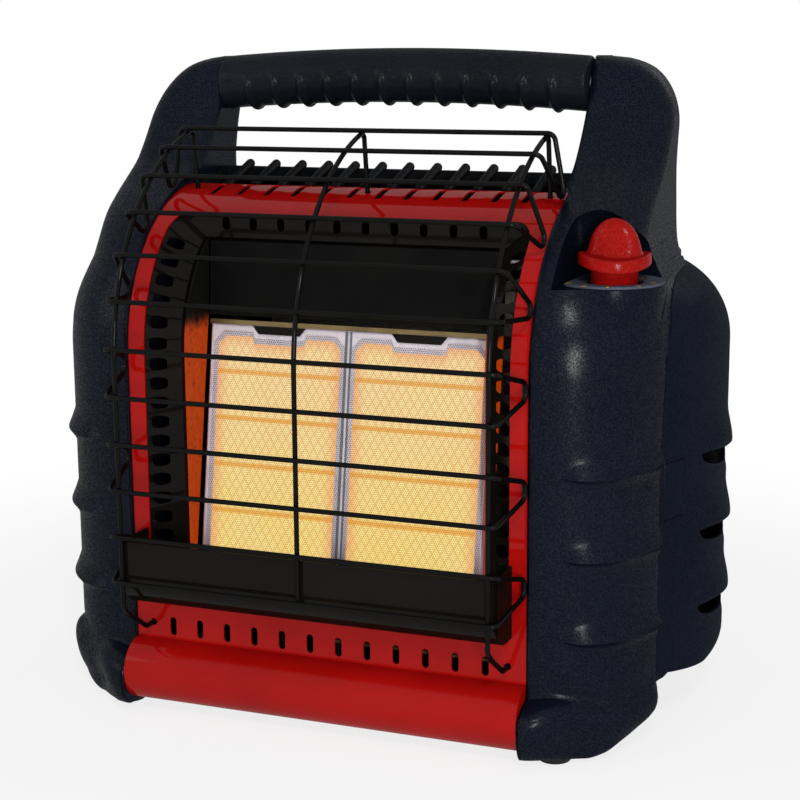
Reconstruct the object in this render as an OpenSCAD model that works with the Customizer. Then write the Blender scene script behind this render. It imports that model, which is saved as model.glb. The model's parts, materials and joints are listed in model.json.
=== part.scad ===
// Portable propane heater: two radiant burner plaques behind a wire guard, a gas cylinder bay
// with its own door in each side panel, and a carrying handle over the top.
// The origin is the middle of the footprint on the floor. The front faces -Y, up is +Z, and
// a person who stands in front of the heater has the control knob on their right, at +X.

/* [Front case] */
// Width of the enamelled sheet-metal front
case_w = 260; // [220:1:310]
// Distance from the origin to the flat front face
case_y = 108; // [100:1:120]
// Radius of the bend that carries the front over the top
arch_r = 100; // [90:1:112]
// Height at which the flat front turns into the bend
arch_z = 230; // [215:1:250]
// Sheet thickness of the case
case_t = 1.2; // [0.8:0.1:2]
// Radius of the rolled lip at the bottom
lip_r = 20; // [15:1:24]
// Width of the enamelled border at each side of the window
border_w = 11; // [8:1:16]
// Height of the lower edge of the window
window_z0 = 76; // [70:1:84]
// Height of the upper edge of the window
window_z1 = 315; // [295:1:318]
// Spacing of the slots, ribs and grip rings across the heater
pitch = 19; // [16:1:22]
// Number of slots in a row
slot_count = 12; // [10:2:12]
// Width of one slot
slot_w = 4.5; // [3:0.5:6]

/* [Side panels] */
// Radius of the rounded front corner of a side panel
col_r = 69; // [60:1:80]
// Wall thickness of the moulded panels
wall = 3; // [2:0.5:4]
// Width of an arm that carries the handle
arm_w = 54; // [45:1:62]
// Height of the top of the arms
arm_top = 410; // [395:1:430]
// Radius of the arm's upper outer corner
arm_corner_r = 44; // [36:1:52]
// Height of the underside of the panels above the floor
base_z = 12; // [10:1:15]
// Depth of the heater from the guard's front to the back
depth = 299; // [290:1:320]

/* [Cylinder bays and doors] */
// Radius of the door's outward bulge, seen from above
pod_r = 182; // [170:1:200]
// How far the door bulges past the front corner of the panel
pod_proud = 16; // [12:1:20]
// Front edge of the door, measured back from the origin
door_y0 = -60; // [-66:1:-55]
// Lower edge of the door at the back
door_z0 = 28; // [26:1:34]
// Lower edge of the door at the front
door_front_z = 47; // [40:1:52]
// Height at which the door starts to round over
dome_z = 235; // [225:1:240]
// Radius of the rounding at the top of the door
dome_r = 49.6; // [45:0.1:50]
// Wall thickness of the door
door_wall = 2.6; // [2:0.1:3.5]
// Height of the lowest vent slot in the door
vent_z = 69; // [62:1:72]
// Spacing of the vent slots and the mouldings in front of them
vent_pitch = 48; // [42:1:50]
// Diameter of the disposable gas cylinder that a bay takes
cylinder_d = 98; // [80:1:99]

/* [Wire guard] */
// Diameter of the guard wire
wire_d = 3; // [2:0.5:4]
// Spacing of the horizontal wires along the guard
wire_pitch = 29; // [26:1:30]
// Radius of the guard's bend over the top
guard_r = 141; // [138:1:144]
// Half width of the closed guard loops
guard_half = 124; // [110:1:126]
// How far the loop ends reach back towards the case
loop_depth = 34; // [26:1:36]

/* [Burner] */
// Width of one ceramic plaque
plaque_w = 92; // [84:1:92]
// Height of one ceramic plaque
plaque_h = 141; // [126:1:144]
// Thickness of a plaque
plaque_t = 13; // [10:1:16]
// Backward lean of the burner
lean = 8.8; // [5:0.2:12]
// Depth of the gas chamber behind the plaques
plenum_d = 58; // [48:1:64]
// Outer radius of a mixing tube
venturi_r = 11; // [9:0.5:13]

/* [Controls] */
// Distance of the knob's axis from the side of the case
knob_in = 36.5; // [32:0.5:38]
// Position of the knob's axis, in front of the origin
knob_y = -61; // [-66:1:-60]
// Height of the ledge under the knob
ledge_z = 281; // [274:1:288]
// Radius of the round ledge and its niche
ledge_r = 33; // [30:1:34]
// Radius of the knob's rim
knob_r = 21.4; // [20:0.1:24]
// Radius of the knob's collar
collar_r = 14; // [12:0.5:15]
// Radius of the valve stem
stem_r = 4; // [3:0.5:5]
// Travel of the knob when it is pushed in
push_travel = 4; // [2:0.5:6]

/* [Handle] */
// Radius of the grip
grip_r = 17.5; // [15:0.5:20]
// Rise of the grip's middle over its ends
grip_rise = 5; // [3:0.5:8]
// Radius of the steel rod inside the grip
rod_r = 5; // [4:0.5:6]

/* [Gas fittings] */
// Radius of the threaded inlet that takes the cylinder's valve
inlet_r = 12.7; // [12:0.1:13]
// Radius of a regulator's diaphragm housing
reg_r = 24; // [20:1:26]
// Radius of the post that a regulator swivels on
post_r = 7; // [5:0.5:8]
// Outer radius of the gas supply tubes
tube_r = 3; // [2.5:0.5:3.5]

/* [Fan and battery] */
// Radius of the fan's blades
fan_r = 50; // [40:1:52]
// Height of the fan's axis
fan_z = 184; // [180:1:184]
// Inner length of the battery compartment
battery_l = 126; // [120:1:140]
// Inner height of the battery compartment
battery_h = 39; // [36:1:42]
// Inner depth of the battery compartment
battery_d = 72; // [70:1:76]

/* [Hidden] */
$fn = 48;

run_gap = 0.05;          // radial clearance of a running fit
bend_step = 0.02;        // how much thicker a bend in a wire or tube is than its straight runs
bend_lap = 0.2;          // how far a straight run reaches into a bend
touch_gap = 0.3;         // gap between curved faces that lie against each other
seam_gap = 0.8;          // gap round a door
over = 1;                // how far a cut runs past the face it opens

half_case = case_w / 2;
window_half = half_case - border_w;
arch_y = arch_r - case_y;
case_rear = -20;         // rear edge of the case's top
lip_z = lip_r + 8;
flange = 12;             // depth of the returned edges of the case

panel_front = -case_y - 2;
col_x = half_case;
col_y = panel_front + col_r;
flank_x = half_case + col_r;
panel_in = half_case + touch_gap;
panel_top_r = arch_r + 2;
arm_in = half_case - 4;
arm_out = arm_in + arm_w;
core_half = half_case - 26;      // half width between the two cylinder bays
rear_y = depth / 2;
rear_arc_r = 90;                 // radius of the rear cover's bend
rear_wall = 2.5;
bay_front = -20;
bay_rear = rear_y - 5;
bay_floor = door_z0 - 4;
roof_z = dome_z + dome_r + 0.4;  // underside of the bay's roof

pod_x = flank_x + pod_proud - pod_r;
pod_y = 20;
door_bottom_r = 18;
door_fall_y = 50;                // the lower edge is level behind this
door_end = 43.4;                 // angle of the door's rear edge about the bulge's centre
gill_proud = 4;                  // how far a gill stands out at the side
gill_h = 12.4;
gill_z = vent_z + 8;
vent_from = -12;                 // the slots start at this angle about the bulge's centre
vent_sweep = 29;
vent_h = 10;
door_inner_r = 146;              // how far the door's top and bottom edges reach in, clear of the cylinder
roof_r = 150;
floor_r = 152;                   // the bay's floor and its skirt stand back under the door
skirt_r = 110;
drain_r = 15;                    // hole in the bay's floor that lets leaked gas sink out
door_arc_y = 15;                 // the door's upper front corner follows this arc
door_arc_r = door_arc_y - door_y0;
door_arc_z = roof_z + over - door_arc_r;
hinge_inset = 10;
hinge_x = pod_x + (pod_r - hinge_inset) * cos(door_end);
hinge_y = pod_y + (pod_r - hinge_inset) * sin(door_end);
hinge_pin_r = 2;
knuckle_r = 4.5;
knuckle_h = 14;
knuckle_z = [70, 200];
hinge_stop_x = hinge_x - 10;     // the bay's rear wall ends here

cyl_x = half_case + 28;
cyl_y = 50;
post_x = core_half + 21;
post_y = 20;
post_top = roof_z;
reg_z = 246;                     // underside of the regulator's housing
reg_h = 18;
inlet_h = 14;
tube_z = 278;                    // height of the supply tubes
tube_x = core_half - 4.5;        // the tubes run in the gap beside the burner box
tee_y = 34;

burner_y = -85;                  // lower front edge of the burner's face
burner_z = 105;
gasket_t = 1.5;
sheet = 1;                       // thickness of the inner sheet-metal parts
box_half = plaque_w + 1 + gasket_t;
venturi_x = 48;
venturi_z = 118;
venturi_rear = 60;
orifice_y = venturi_rear + 6;
chamber_half = box_half + 4.8;
frame_inner_r = arch_r - 14;     // radius of the black frame's inner edge
frame_lip_r = frame_inner_r - 6;
frame_pitch = 12.2;              // spacing of the slots along the sides of the frame
frame_inner_half = chamber_half + 1.2;

guard_y = -(rear_y - wire_d / 2 - 1);    // centre line of the straight part of the guard
guard_cy = guard_y + guard_r;
guard_low_z = 94.7;
loop_tip = 5;                    // half the width of a loop's end
loop_bend = 5;
upright_x = guard_half - 5.5;
foot_y = -31;
hook_z = 58;

tray_y = -142;
tray_top = 120;
tray_r = 24;
tray_half = window_half + 2;
tray_back = -case_y - 0.1;

grip_y = 30;
grip_end_z = arm_top - grip_r;
grip_bow_r = (arm_in * arm_in + grip_rise * grip_rise) / (2 * grip_rise);

knob_x = half_case + knob_in;
valve_r = 15;
valve_z0 = 190;
valve_z1 = 240;
stem_hole_r = collar_r + 3;
dial_t = 1.5;
rim_z = ledge_z + 10;            // underside of the knob's rim
rim_t = 7;
wing_r = 16;
wing_h = 21;
wing_t = 13;
niche_h = 14;                    // height at which the niche's wall turns into its dome
niche_left = 25;                 // the niche's left wall, measured from the knob's axis
boss_x = knob_x - 4;             // the ledge's boss stands a little behind the knob's axis
boss_y = knob_y + 7;
boss_outline = [[0, -51], [17, -51], [27.4, -34], [30, -25], [32.2, -9], [32, 0], [0, 0]];

small_pin_r = 1.5;               // pins of the rocker, the lid and the pendulum, and the fan's shaft
motor_r = 17;
rotor_y = 106;
switch_x = 80;
switch_z = 215;
switch_w = 20;
switch_h = 28;
rocker_tilt = 10;
jack_r = 5.5;
battery_wall = 2;
battery_y1 = rear_y - rear_wall - 4;
battery_y0 = battery_y1 - battery_d;
battery_z0 = base_z + 2.5 + battery_wall;
lid_half = battery_l / 2 - 2;
lid_hinge_z = battery_z0 + 2.5;
ear_x = lid_half + 7;            // the lid's pivots turn in ears outside the battery box
tip_x = -84;
tip_y = 0;
tip_pivot_z = 58;

// ---- helpers ----

// Extrudes a YZ outline along X, centred on X = 0
module along_x(w) rotate([90, 0, 90]) linear_extrude(w, center = true) children();

// Extrudes a YZ outline along X, from x0 to x1
module span_x(x0, x1) translate([(x0 + x1) / 2, 0, 0]) along_x(x1 - x0) children();

// Extrudes an XZ outline along Y, from y0 to y1
module span_y(y0, y1) translate([0, y1, 0]) rotate([90, 0, 0]) linear_extrude(y1 - y0) children();

// Extrudes an XY outline along Z, from z0 to z1
module span_z(z0, z1) translate([0, 0, z0]) linear_extrude(z1 - z0) children();

// A box between two corners
module block(a, b) translate(a) cube(b - a);

// A round bar between two points
module bar(a, b, r) {
  v = b - a;
  l = norm(v);
  translate(a) rotate([0, acos(v[2] / l), atan2(v[1], v[0])]) cylinder(r = r, h = l);
}

// The direction from one point to another
function toward(a, b) = (b - a) / norm(b - a);

// How far a bend of radius R at point i starts before the point
function bend_reach(points, i, R) =
  R * tan((180 - acos(toward(points[i], points[i - 1]) * toward(points[i], points[i + 1]))) / 2);

// A round bend of radius R at p, between the directions to a and to b
module elbow(a, p, b, R, r) {
  u = toward(p, a);
  v = toward(p, b);
  turn = 180 - acos(u * v);
  c = p + (u + v) / norm(u + v) * R / cos(turn / 2);
  x = (p + u * R * tan(turn / 2) - c) / R;
  n = cross(v, u) / norm(cross(v, u));
  y = cross(n, x);
  multmatrix([[x[0], y[0], n[0], c[0]], [x[1], y[1], n[1], c[1]], [x[2], y[2], n[2], c[2]], [0, 0, 0, 1]])
    rotate_extrude(angle = turn, $fn = 96) translate([R, 0]) circle(r + bend_step, $fn = 48);
}

// A wire or tube of radius r through a list of points, with bends of radius R
module bent(points, r, R) {
  last = len(points) - 1;
  for (i = [0 : last - 1]) {
    d = toward(points[i], points[i + 1]);
    from = i == 0 ? 0 : bend_reach(points, i, R);
    to = i == last - 1 ? 0 : bend_reach(points, i + 1, R);
    bar(points[i] + d * (from - (i == 0 ? 0 : bend_lap)), points[i + 1] - d * (to - (i == last - 1 ? 0 : bend_lap)), r);
  }
  for (i = [1 : last - 1]) elbow(points[i - 1], points[i], points[i + 1], R, r);
}

// A rectangle with round corners
module round_rect(w, h, r) {
  square([w - 2 * r, h], center = true);
  square([w, h - 2 * r], center = true);
  for (x = [-1, 1], y = [-1, 1]) translate([x * (w / 2 - r), y * (h / 2 - r)]) circle(r);
}

// A slot with round ends, l long and w wide
module slot(l, w) {
  square([l - w, w], center = true);
  for (x = [-1, 1]) translate([x * (l - w) / 2, 0]) circle(w / 2);
}

// The positions of one row of slots or ribs
function row_x(i) = (i - (slot_count - 1) / 2) * pitch;

// ---- front case, window frame and tray ----

// Filled YZ outline of the case, drawn in by the inset
module case_area(inset) {
  translate([arch_y, arch_z]) circle(arch_r - inset);
  translate([-case_y + inset, lip_z - inset]) square([arch_r - inset, arch_z - lip_z + inset]);
  translate([-case_y, lip_z]) circle(lip_r - inset);
}

// The part of the case outline that the sheet follows
module case_keep() {
  polygon([[-case_y - lip_r - over, 0], [-case_y + flange, 0], [-case_y + flange, arch_z / 4],
           [case_rear, arch_z / 4], [case_rear, arch_z + arch_r + over],
           [-case_y - lip_r - over, arch_z + arch_r + over]]);
}

module case_sheet(depth_in) {
  intersection() {
    difference() {
      case_area(0);
      case_area(depth_in);
    }
    case_keep();
  }
}

module front_case() color([0.72, 0.08, 0.06]) difference() {
  union() {
    along_x(case_w) case_sheet(case_t);
    for (s = [-1, 1]) translate([s * (half_case - case_t / 2), 0, 0]) along_x(case_t) case_sheet(flange);
  }
  span_y(-case_y - over, -case_y / 2 + 8) translate([0, (window_z0 + window_z1) / 2])
    round_rect(2 * window_half, window_z1 - window_z0, 11);
  for (i = [0 : slot_count - 1]) {
    span_y(-case_y - lip_r, -case_y + 5) translate([row_x(i), lip_z + 28.5]) rotate(90) slot(12, slot_w);
    span_z(arch_z + arch_r / 2, arch_z + arch_r + over) translate([row_x(i), foot_y]) rotate(90) slot(20, slot_w);
  }
  for (x = [-upright_x, 0, upright_x])
    translate([x, foot_y, arch_z + arch_r / 2]) cylinder(r = wire_d / 2 + 0.7, h = arch_r);
  for (x = [-upright_x, upright_x])
    translate([x, -case_y + 5, hook_z]) rotate([90, 0, 0]) cylinder(r = wire_d / 2 + 0.7, h = 30);
}

// Section of the black frame at one side of the window: x outwards, y is the distance
// from the axis of the case's bend
module frame_section() {
  r1 = arch_r - case_t - 0.05;
  polygon([[r1, window_half + 7], [r1, window_half - 0.4], [frame_inner_r, frame_inner_half],
           [frame_lip_r, frame_inner_half], [frame_lip_r, frame_inner_half + sheet],
           [frame_inner_r - 0.5, frame_inner_half + sheet], [r1 - sheet, window_half - 0.1],
           [r1 - sheet, window_half + 7]]);
}

frame_angle = asin((window_z1 - arch_z) / (arch_r - case_t));

module frame_side() {
  translate([0, arch_y, window_z0 + 3]) linear_extrude(arch_z - window_z0 - 3)
    rotate(-90) frame_section();
  mirror([1, 0, 0]) translate([0, arch_y, arch_z]) rotate([90, 0, -90])
    rotate_extrude(angle = frame_angle) frame_section();
}

// A row of upright slots along a side of the frame, on the straight part and round the bend
module frame_holes_side() {
  x = (window_half + frame_inner_half) / 2;
  for (i = [0 : 9]) translate([x, -case_y + 10, arch_z - 6 - i * frame_pitch])
    rotate([90, 0, 35]) linear_extrude(30, center = true) rotate(90) slot(8, 4.5);
  for (i = [0 : 5]) translate([0, arch_y, arch_z]) rotate([-(i + 0.5) * frame_pitch / frame_inner_r * 180 / PI, 0, 0])
    translate([x, 10 - arch_r, 0]) rotate([90, 0, 35]) linear_extrude(30, center = true) rotate(90) slot(8, 4.5);
}

frame_top_y = arch_y - (arch_r - case_t) * cos(frame_angle);

module inner_frame() color([0.16, 0.16, 0.15]) {
  for (s = [0, 1]) mirror([s, 0, 0]) difference() {
    frame_side();
    frame_holes_side();
  }
  difference() {
    union() {
      block([-window_half, frame_top_y, window_z1 - 15], [window_half, frame_top_y + sheet, window_z1 - 0.5]);
      block([-window_half, frame_top_y, window_z1 - 16], [window_half, frame_top_y + 7, window_z1 - 15]);
    }
    for (i = [1 : slot_count - 2])
      span_y(frame_top_y - over, frame_top_y + sheet + over)
        translate([row_x(i), window_z1 - 7]) rotate(90) slot(8, 5);
  }
}

// YZ outline of the tray, drawn in by the inset
module tray_area(inset) {
  intersection() {
    translate([tray_y + tray_r, window_z0 + tray_r]) circle(tray_r - inset);
    translate([tray_y - over, window_z0 - over]) square(tray_r + over);
  }
  translate([tray_y + inset, window_z0 + tray_r]) square([tray_back - tray_y - inset, tray_top - window_z0 - tray_r]);
  translate([tray_y + tray_r, window_z0 + inset]) square([tray_back - tray_y - tray_r, tray_r + over]);
}

module heat_tray() color([0.1, 0.1, 0.1]) {
  difference() {
    along_x(2 * tray_half) tray_area(0);
    along_x(2 * (tray_half - case_t)) union() {
      tray_area(case_t);
      translate([tray_y + tray_r, window_z0 + case_t]) square([60, 60]);
      translate([tray_y + case_t, window_z0 + tray_r]) square([60, 60]);
    }
  }
  block([-window_half + 12, tray_back - over, window_z0 + touch_gap], [window_half - 12, -case_y + 4, window_z0 + touch_gap + case_t]);
}

// ---- wire guard ----

// Length along the guard from its lowest wire to the start of the bend
guard_straight = arch_z - guard_low_z;

// YZ position on the guard's centre line at a length s from the lowest wire, moved in by the inset
function guard_at(s, inset) = s < guard_straight
  ? [guard_y + inset, guard_low_z + s]
  : let (a = (s - guard_straight) / guard_r * 180 / PI)
    [guard_cy - (guard_r - inset) * cos(a), arch_z + (guard_r - inset) * sin(a)];

function guard_point(x, s, inset = 0) = let (p = guard_at(s, inset)) [x, p[0], p[1]];

module guard_loop(k) {
  s0 = 2 * k * wire_pitch;
  s1 = s0 + wire_pitch;
  tip_x = guard_half + 6;
  mid = (s0 + s1) / 2;
  points = [
    guard_point(0, s0), guard_point(guard_half, s0),
    guard_point(tip_x, mid - loop_tip, loop_depth), guard_point(tip_x, mid + loop_tip, loop_depth),
    guard_point(guard_half, s1), guard_point(-guard_half, s1),
    guard_point(-tip_x, mid + loop_tip, loop_depth), guard_point(-tip_x, mid - loop_tip, loop_depth),
    guard_point(-guard_half, s0), guard_point(0, s0)
  ];
  bent(points, wire_d / 2, loop_bend);
}

module guard_rings() color([0.1, 0.1, 0.1]) for (k = [0 : 5]) guard_loop(k);

upright_in = wire_d - 0.2;       // the uprights are welded to the inside of the loops
upright_r = guard_r - upright_in;
upright_end = 11 * wire_pitch;   // the uppermost wire, measured along the guard
upright_angle = (upright_end - guard_straight) / guard_r * 180 / PI;

module upright(x, with_hook) {
  low_z = with_hook ? window_z0 + 12 : guard_low_z - 2;
  bar([x, guard_y + upright_in, low_z], [x, guard_y + upright_in, arch_z + bend_lap], wire_d / 2);
  translate([x, guard_cy, arch_z]) rotate([90, 0, -90])
    rotate_extrude(angle = upright_angle, $fn = 180) translate([upright_r, 0]) circle(wire_d / 2 + bend_step, $fn = 48);
  // the upper end turns down into the case
  end = guard_point(x, upright_end, upright_in);
  along = [0, sin(upright_angle), cos(upright_angle)];
  bent([end - bend_lap * along, end + 6 * along, [x, foot_y, arch_z + arch_r - 8]], wire_d / 2, 4);
  if (with_hook)
    bent([[x, -case_y + 6, hook_z], [x, -case_y - 9, hook_z], [x, tray_y + 4, window_z0 - 4],
          [x, guard_y + upright_in, window_z0 + 2], [x, guard_y + upright_in, low_z + 5]], wire_d / 2, 4);
}

module guard_uprights() color([0.1, 0.1, 0.1]) {
  upright(0, false);
  for (x = [-upright_x, upright_x]) upright(x, true);
}

// ---- side panels ----

// Plan outline of the column and the arm
module panel_plan(inset) {
  intersection() {
    translate([col_x, col_y]) circle(col_r - inset);
    translate([panel_in, panel_front - over]) square([col_r + 2, col_r + over]);
  }
  translate([panel_in, col_y]) square([col_r - touch_gap - inset, bay_front - col_y + wall]);
}

// Side outline of the panel: the bend of the case, then the arm that leans back to the handle
module panel_side(inset) {
  intersection() {
    translate([arch_y, arch_z]) circle(panel_top_r - inset);
    translate([panel_front, arch_z - over]) square([-panel_front - 30, arch_r * 2]);
  }
  translate([panel_front + inset, base_z - over]) square([-panel_front - inset + bay_front + wall, arch_z - base_z + over]);
}

module arm_side(inset) {
  polygon([[-62 + inset, roof_z - 4], [-47 + inset, arch_z + 93 - inset], [-13 + inset, arm_top - 67],
           [12 + inset, arm_top - 33], [26 + inset, arm_top - 5 - inset], [32 + inset, arm_top - inset],
           [56 - inset, arm_top - inset], [63 - inset, arm_top - 8 - inset], [51 - inset, arm_top - 34],
           [43 - inset, arm_top - 68], [46.5 - inset, roof_z + 18], [50 - inset, roof_z + 1],
           [bay_front, roof_z + 1], [bay_front, roof_z - 4]]);
}

// Front outline of the panel: upright flank, then the slope in to the arm
module panel_face(x0, inset) {
  polygon([[x0, base_z - over], [flank_x - 17 - inset, base_z - over], [flank_x - 6 - inset, base_z + 13],
           [flank_x + 0.6 - inset, base_z + 32],
           [flank_x + 0.6 - inset, dome_z + 10], [flank_x - 4.7 - inset, dome_z + 27],
           [flank_x - 9.7 - inset, dome_z + 37], [arm_out + 2 - inset, roof_z + 2],
           [arm_out - inset, roof_z + 16], [arm_out - inset, arm_top - arm_corner_r],
           [x0, arm_top - arm_corner_r]]);
  difference() {
    translate([arm_out - arm_corner_r, arm_top - arm_corner_r]) circle(arm_corner_r - inset);
    translate([x0 - 2 * arm_corner_r, 0]) square([2 * arm_corner_r, 2 * arm_top]);
  }
  translate([x0, arm_top - arm_corner_r - over]) square([arm_out - arm_corner_r - x0, arm_corner_r + over - inset]);
}

module column(inset) intersection() {
  span_z(base_z + (inset > 0 ? wall : 0), arch_z + panel_top_r) panel_plan(inset);
  span_x(panel_in - (inset > 0 ? over : 0), flank_x + over) panel_side(inset);
  span_y(panel_front - over, bay_front + wall + over) panel_face(half_case - 10, inset);
}

module arm(inset) intersection() {
  span_x(arm_in + inset, arm_out + 30) arm_side(inset);
  span_y(panel_front, rear_y) panel_face(half_case - 10, inset);
  union() {
    block([arm_in - over, case_rear + 1, roof_z - 10], [arm_out + 30, rear_y, arm_top + over]);
    block([panel_in, panel_front, roof_z - 10], [arm_out + 30, case_rear + 2, arm_top + over]);
  }
}

// Everything outside this revolved shape belongs to the door
module pod_area(inset) {
  r0 = 60;
  translate([r0, door_z0 + door_bottom_r])
    square([pod_r - inset - r0, dome_z - door_z0 - door_bottom_r]);
  translate([pod_r - dome_r, dome_z]) circle(dome_r - inset);
  translate([pod_r - door_bottom_r, door_z0 + door_bottom_r]) circle(door_bottom_r - inset);
  translate([r0, door_z0 + inset]) square([pod_r - door_bottom_r - r0, door_bottom_r + over]);
  translate([r0, dome_z - over]) square([pod_r - dome_r - r0, dome_r + over - inset]);
}

// Side outline of the door: the upper front corner is an arc and the lower edge falls to the back
module door_side(grow) {
  intersection() {
    translate([door_arc_y, door_arc_z]) circle(door_arc_r + grow);
    translate([door_y0 - grow - over, door_arc_z]) square(door_arc_r + grow + over);
  }
  polygon([[door_y0 - grow, door_front_z - grow], [door_y0 - grow, door_arc_z], [rear_y, door_arc_z],
           [rear_y, door_z0 - grow], [door_fall_y, door_z0 - grow]]);
  translate([door_arc_y, door_z0 - grow]) square([rear_y, door_arc_r + door_arc_z - door_z0 + 2 * grow]);
}

module door_zone(grow) intersection() {
  difference() {
    translate([pod_x, pod_y, 0]) cylinder(r = pod_r + 20, h = arm_top);
    translate([pod_x, pod_y, 0]) rotate([0, 0, -60]) rotate_extrude(angle = 130) pod_area(door_wall + 3 * grow);
  }
  span_x(half_case, flank_x + 60) door_side(grow);
  block([half_case, door_y0 - grow, 0], [flank_x + 60, rear_y + over, roof_z - 0.4 + grow]);
}

module bay_walls() {
  block([core_half, bay_front, base_z], [core_half + wall, bay_rear + wall, roof_z + wall]);
  block([core_half, bay_rear, base_z], [hinge_stop_x, bay_rear + wall, roof_z + wall]);
  difference() {
    intersection() {
      block([core_half, bay_front, bay_floor], [flank_x + 3, bay_front + wall, roof_z + wall]);
      translate([pod_x, pod_y, 0]) cylinder(r = pod_r - door_wall - seam_gap, h = arm_top);
      span_y(bay_front - over, bay_front + wall + over) panel_face(half_case - 30, 0);
    }
    door_zone(seam_gap);
  }
  intersection() {
    block([core_half, bay_front, roof_z], [arm_out, bay_rear + wall, roof_z + wall]);
    translate([pod_x, pod_y, 0]) cylinder(r = roof_r, h = arm_top);
  }
  // the bay's floor, and the recessed skirt that it stands on
  difference() {
    intersection() {
      translate([pod_x, pod_y, 0]) cylinder(r = floor_r, h = arm_top);
      block([core_half, bay_front, bay_floor - wall], [flank_x + 20, bay_rear + wall, bay_floor]);
    }
    translate([cyl_x, cyl_y, bay_floor - wall - over]) cylinder(r = drain_r, h = wall + 2 * over);
  }
  intersection() {
    difference() {
      translate([pod_x, pod_y, 0]) cylinder(r = skirt_r, h = arm_top);
      translate([pod_x, pod_y, base_z - over]) cylinder(r = skirt_r - wall, h = bay_floor - wall - base_z + over);
    }
    block([core_half, bay_front, base_z], [flank_x + 20, bay_rear + wall, bay_floor - wall]);
  }
}

// The panel's shoulder, in front of the door's rounded corner and under the arm
module shoulder() difference() {
  intersection() {
    span_y(bay_front - over, door_arc_y + 6) panel_face(half_case, 0);
    block([core_half + 30, bay_front, door_arc_z], [flank_x, door_arc_y + 6, roof_z + wall]);
  }
  span_y(bay_front - 2 * over, door_arc_y + 8) panel_face(half_case, wall);
  span_x(half_case, flank_x + 60) door_side(seam_gap);
}

boss_h = 7.6;                    // height of a hinge boss
boss_gap = 0.4;                  // room between a boss and the door's knuckle
pin_grip = 0.03;                 // radial room of a pin in the boss that holds it

// Bosses on the panel that hold the door's hinge pin
module hinge_bosses() {
  for (z = knuckle_z, dz = [-boss_h - boss_gap, knuckle_h + boss_gap]) difference() {
    union() {
      translate([hinge_x, hinge_y, z + dz]) cylinder(r = knuckle_r, h = boss_h);
      block([hinge_x - 13, hinge_y - 4, z + dz], [hinge_x - 2, hinge_y + 2.4, z + dz + boss_h]);
      block([hinge_x - 16, hinge_y - 4, z + dz], [hinge_x - 12.5, bay_rear + over, z + dz + boss_h]);
    }
    translate([hinge_x, hinge_y, z + dz - over]) cylinder(r = hinge_pin_r + pin_grip, h = boss_h + 2 * over);
  }
}

module tube_hole(y, z, r) translate([core_half - over, y, z]) rotate([0, 90, 0]) cylinder(r = r, h = wall + 2 * over);

foot_r = 11.5;
foot_taper = 2;                  // how much narrower the foot is on the floor
foot_taper_h = 4;
screw_r = 2;
screw_head_r = 4;
screw_head_h = 3;
screw_gap = 0.2;
foot_at = [[half_case + 14.5, -96.5], [half_case + 14.5, 118]];

module foot_screw_holes() for (p = foot_at)
  translate([p[0], p[1], base_z - over]) cylinder(r = screw_r + screw_gap, h = wall + 2 * over);

// Three mouldings that swell out of the column towards the door
module gills() intersection() {
  for (i = [0 : 2]) translate([col_x + gill_proud, col_y + gill_proud / 4, gill_z + i * vent_pitch])
    rotate([0, 0, -80]) rotate_extrude(angle = 80)
      polygon([[col_r - 8, gill_h], [col_r - 2, gill_h], [col_r, 4], [col_r, -2], [col_r - 5, -gill_h], [col_r - 8, -gill_h]]);
  span_y(panel_front, door_y0 - seam_gap) translate([panel_in + 12, 0]) square([flank_x, arm_top]);
}

// One side panel, drawn for the right-hand side
module side_panel() {
  difference() {
    union() {
      difference() {
        union() {
          column(0);
          gills();
        }
        intersection() {
          column(wall);
          block([0, panel_front, base_z + wall], [flank_x, bay_front, arm_top]);
        }
        door_zone(seam_gap);
      }
      difference() {
        arm(0);
        arm(wall);
      }
      bay_walls();
      shoulder();
      hinge_bosses();
      block([panel_in, -105, base_z], [half_case + 25, bay_front + wall, base_z + wall]);
      block([half_case, 105, base_z], [half_case + 34, bay_rear + wall, base_z + wall]);
    }
    tube_hole(post_y, tube_z, tube_r + touch_gap);
    foot_screw_holes();
    translate([arm_in - over, grip_y, grip_end_z]) rotate([0, 90, 0]) cylinder(r = rod_r + 0.05, h = wall + 2 * over);
  }
  // sleeve inside the arm that holds the handle's rod
  difference() {
    translate([arm_in + wall, grip_y, grip_end_z]) rotate([0, 90, 0]) cylinder(r = rod_r + 4, h = 20);
    translate([arm_in + wall - over, grip_y, grip_end_z]) rotate([0, 90, 0]) cylinder(r = rod_r + 0.05, h = 30);
  }
}

// The niche over the knob's ledge, open to the front
module niche(grow) {
  translate([knob_x, knob_y, ledge_z]) cylinder(r = ledge_r + grow, h = niche_h);
  translate([knob_x, knob_y, ledge_z + niche_h]) sphere(ledge_r + grow);
  block([knob_x - niche_left - grow, panel_front, ledge_z], [knob_x + ledge_r, knob_y - ledge_r / 2, ledge_z + niche_h + 10 + grow]);
}

// The boss under the ledge
module boss() translate([boss_x, boss_y, ledge_z]) rotate_extrude() polygon(boss_outline);

module side_panel_right() color([0.12, 0.14, 0.19]) {
  difference() {
    union() {
      side_panel();
      intersection() {
        union() {
          niche(wall);
          translate([knob_x, knob_y, ledge_z - wall]) cylinder(r = ledge_r + wall, h = wall);
        }
        union() {
          column(0);
          arm(0);
        }
        block([0, panel_front, ledge_z - wall], [flank_x, rear_y, arm_top]);
      }
      difference() {
        boss();
        column(wall);
      }
    }
    niche(0);
    translate([knob_x, knob_y, valve_z1]) cylinder(r = stem_hole_r, h = ledge_z - valve_z1 + over);
  }
}

module side_panel_left() color([0.12, 0.14, 0.19]) mirror([1, 0, 0]) side_panel();

// ---- covers, base, deck and handle ----

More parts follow.
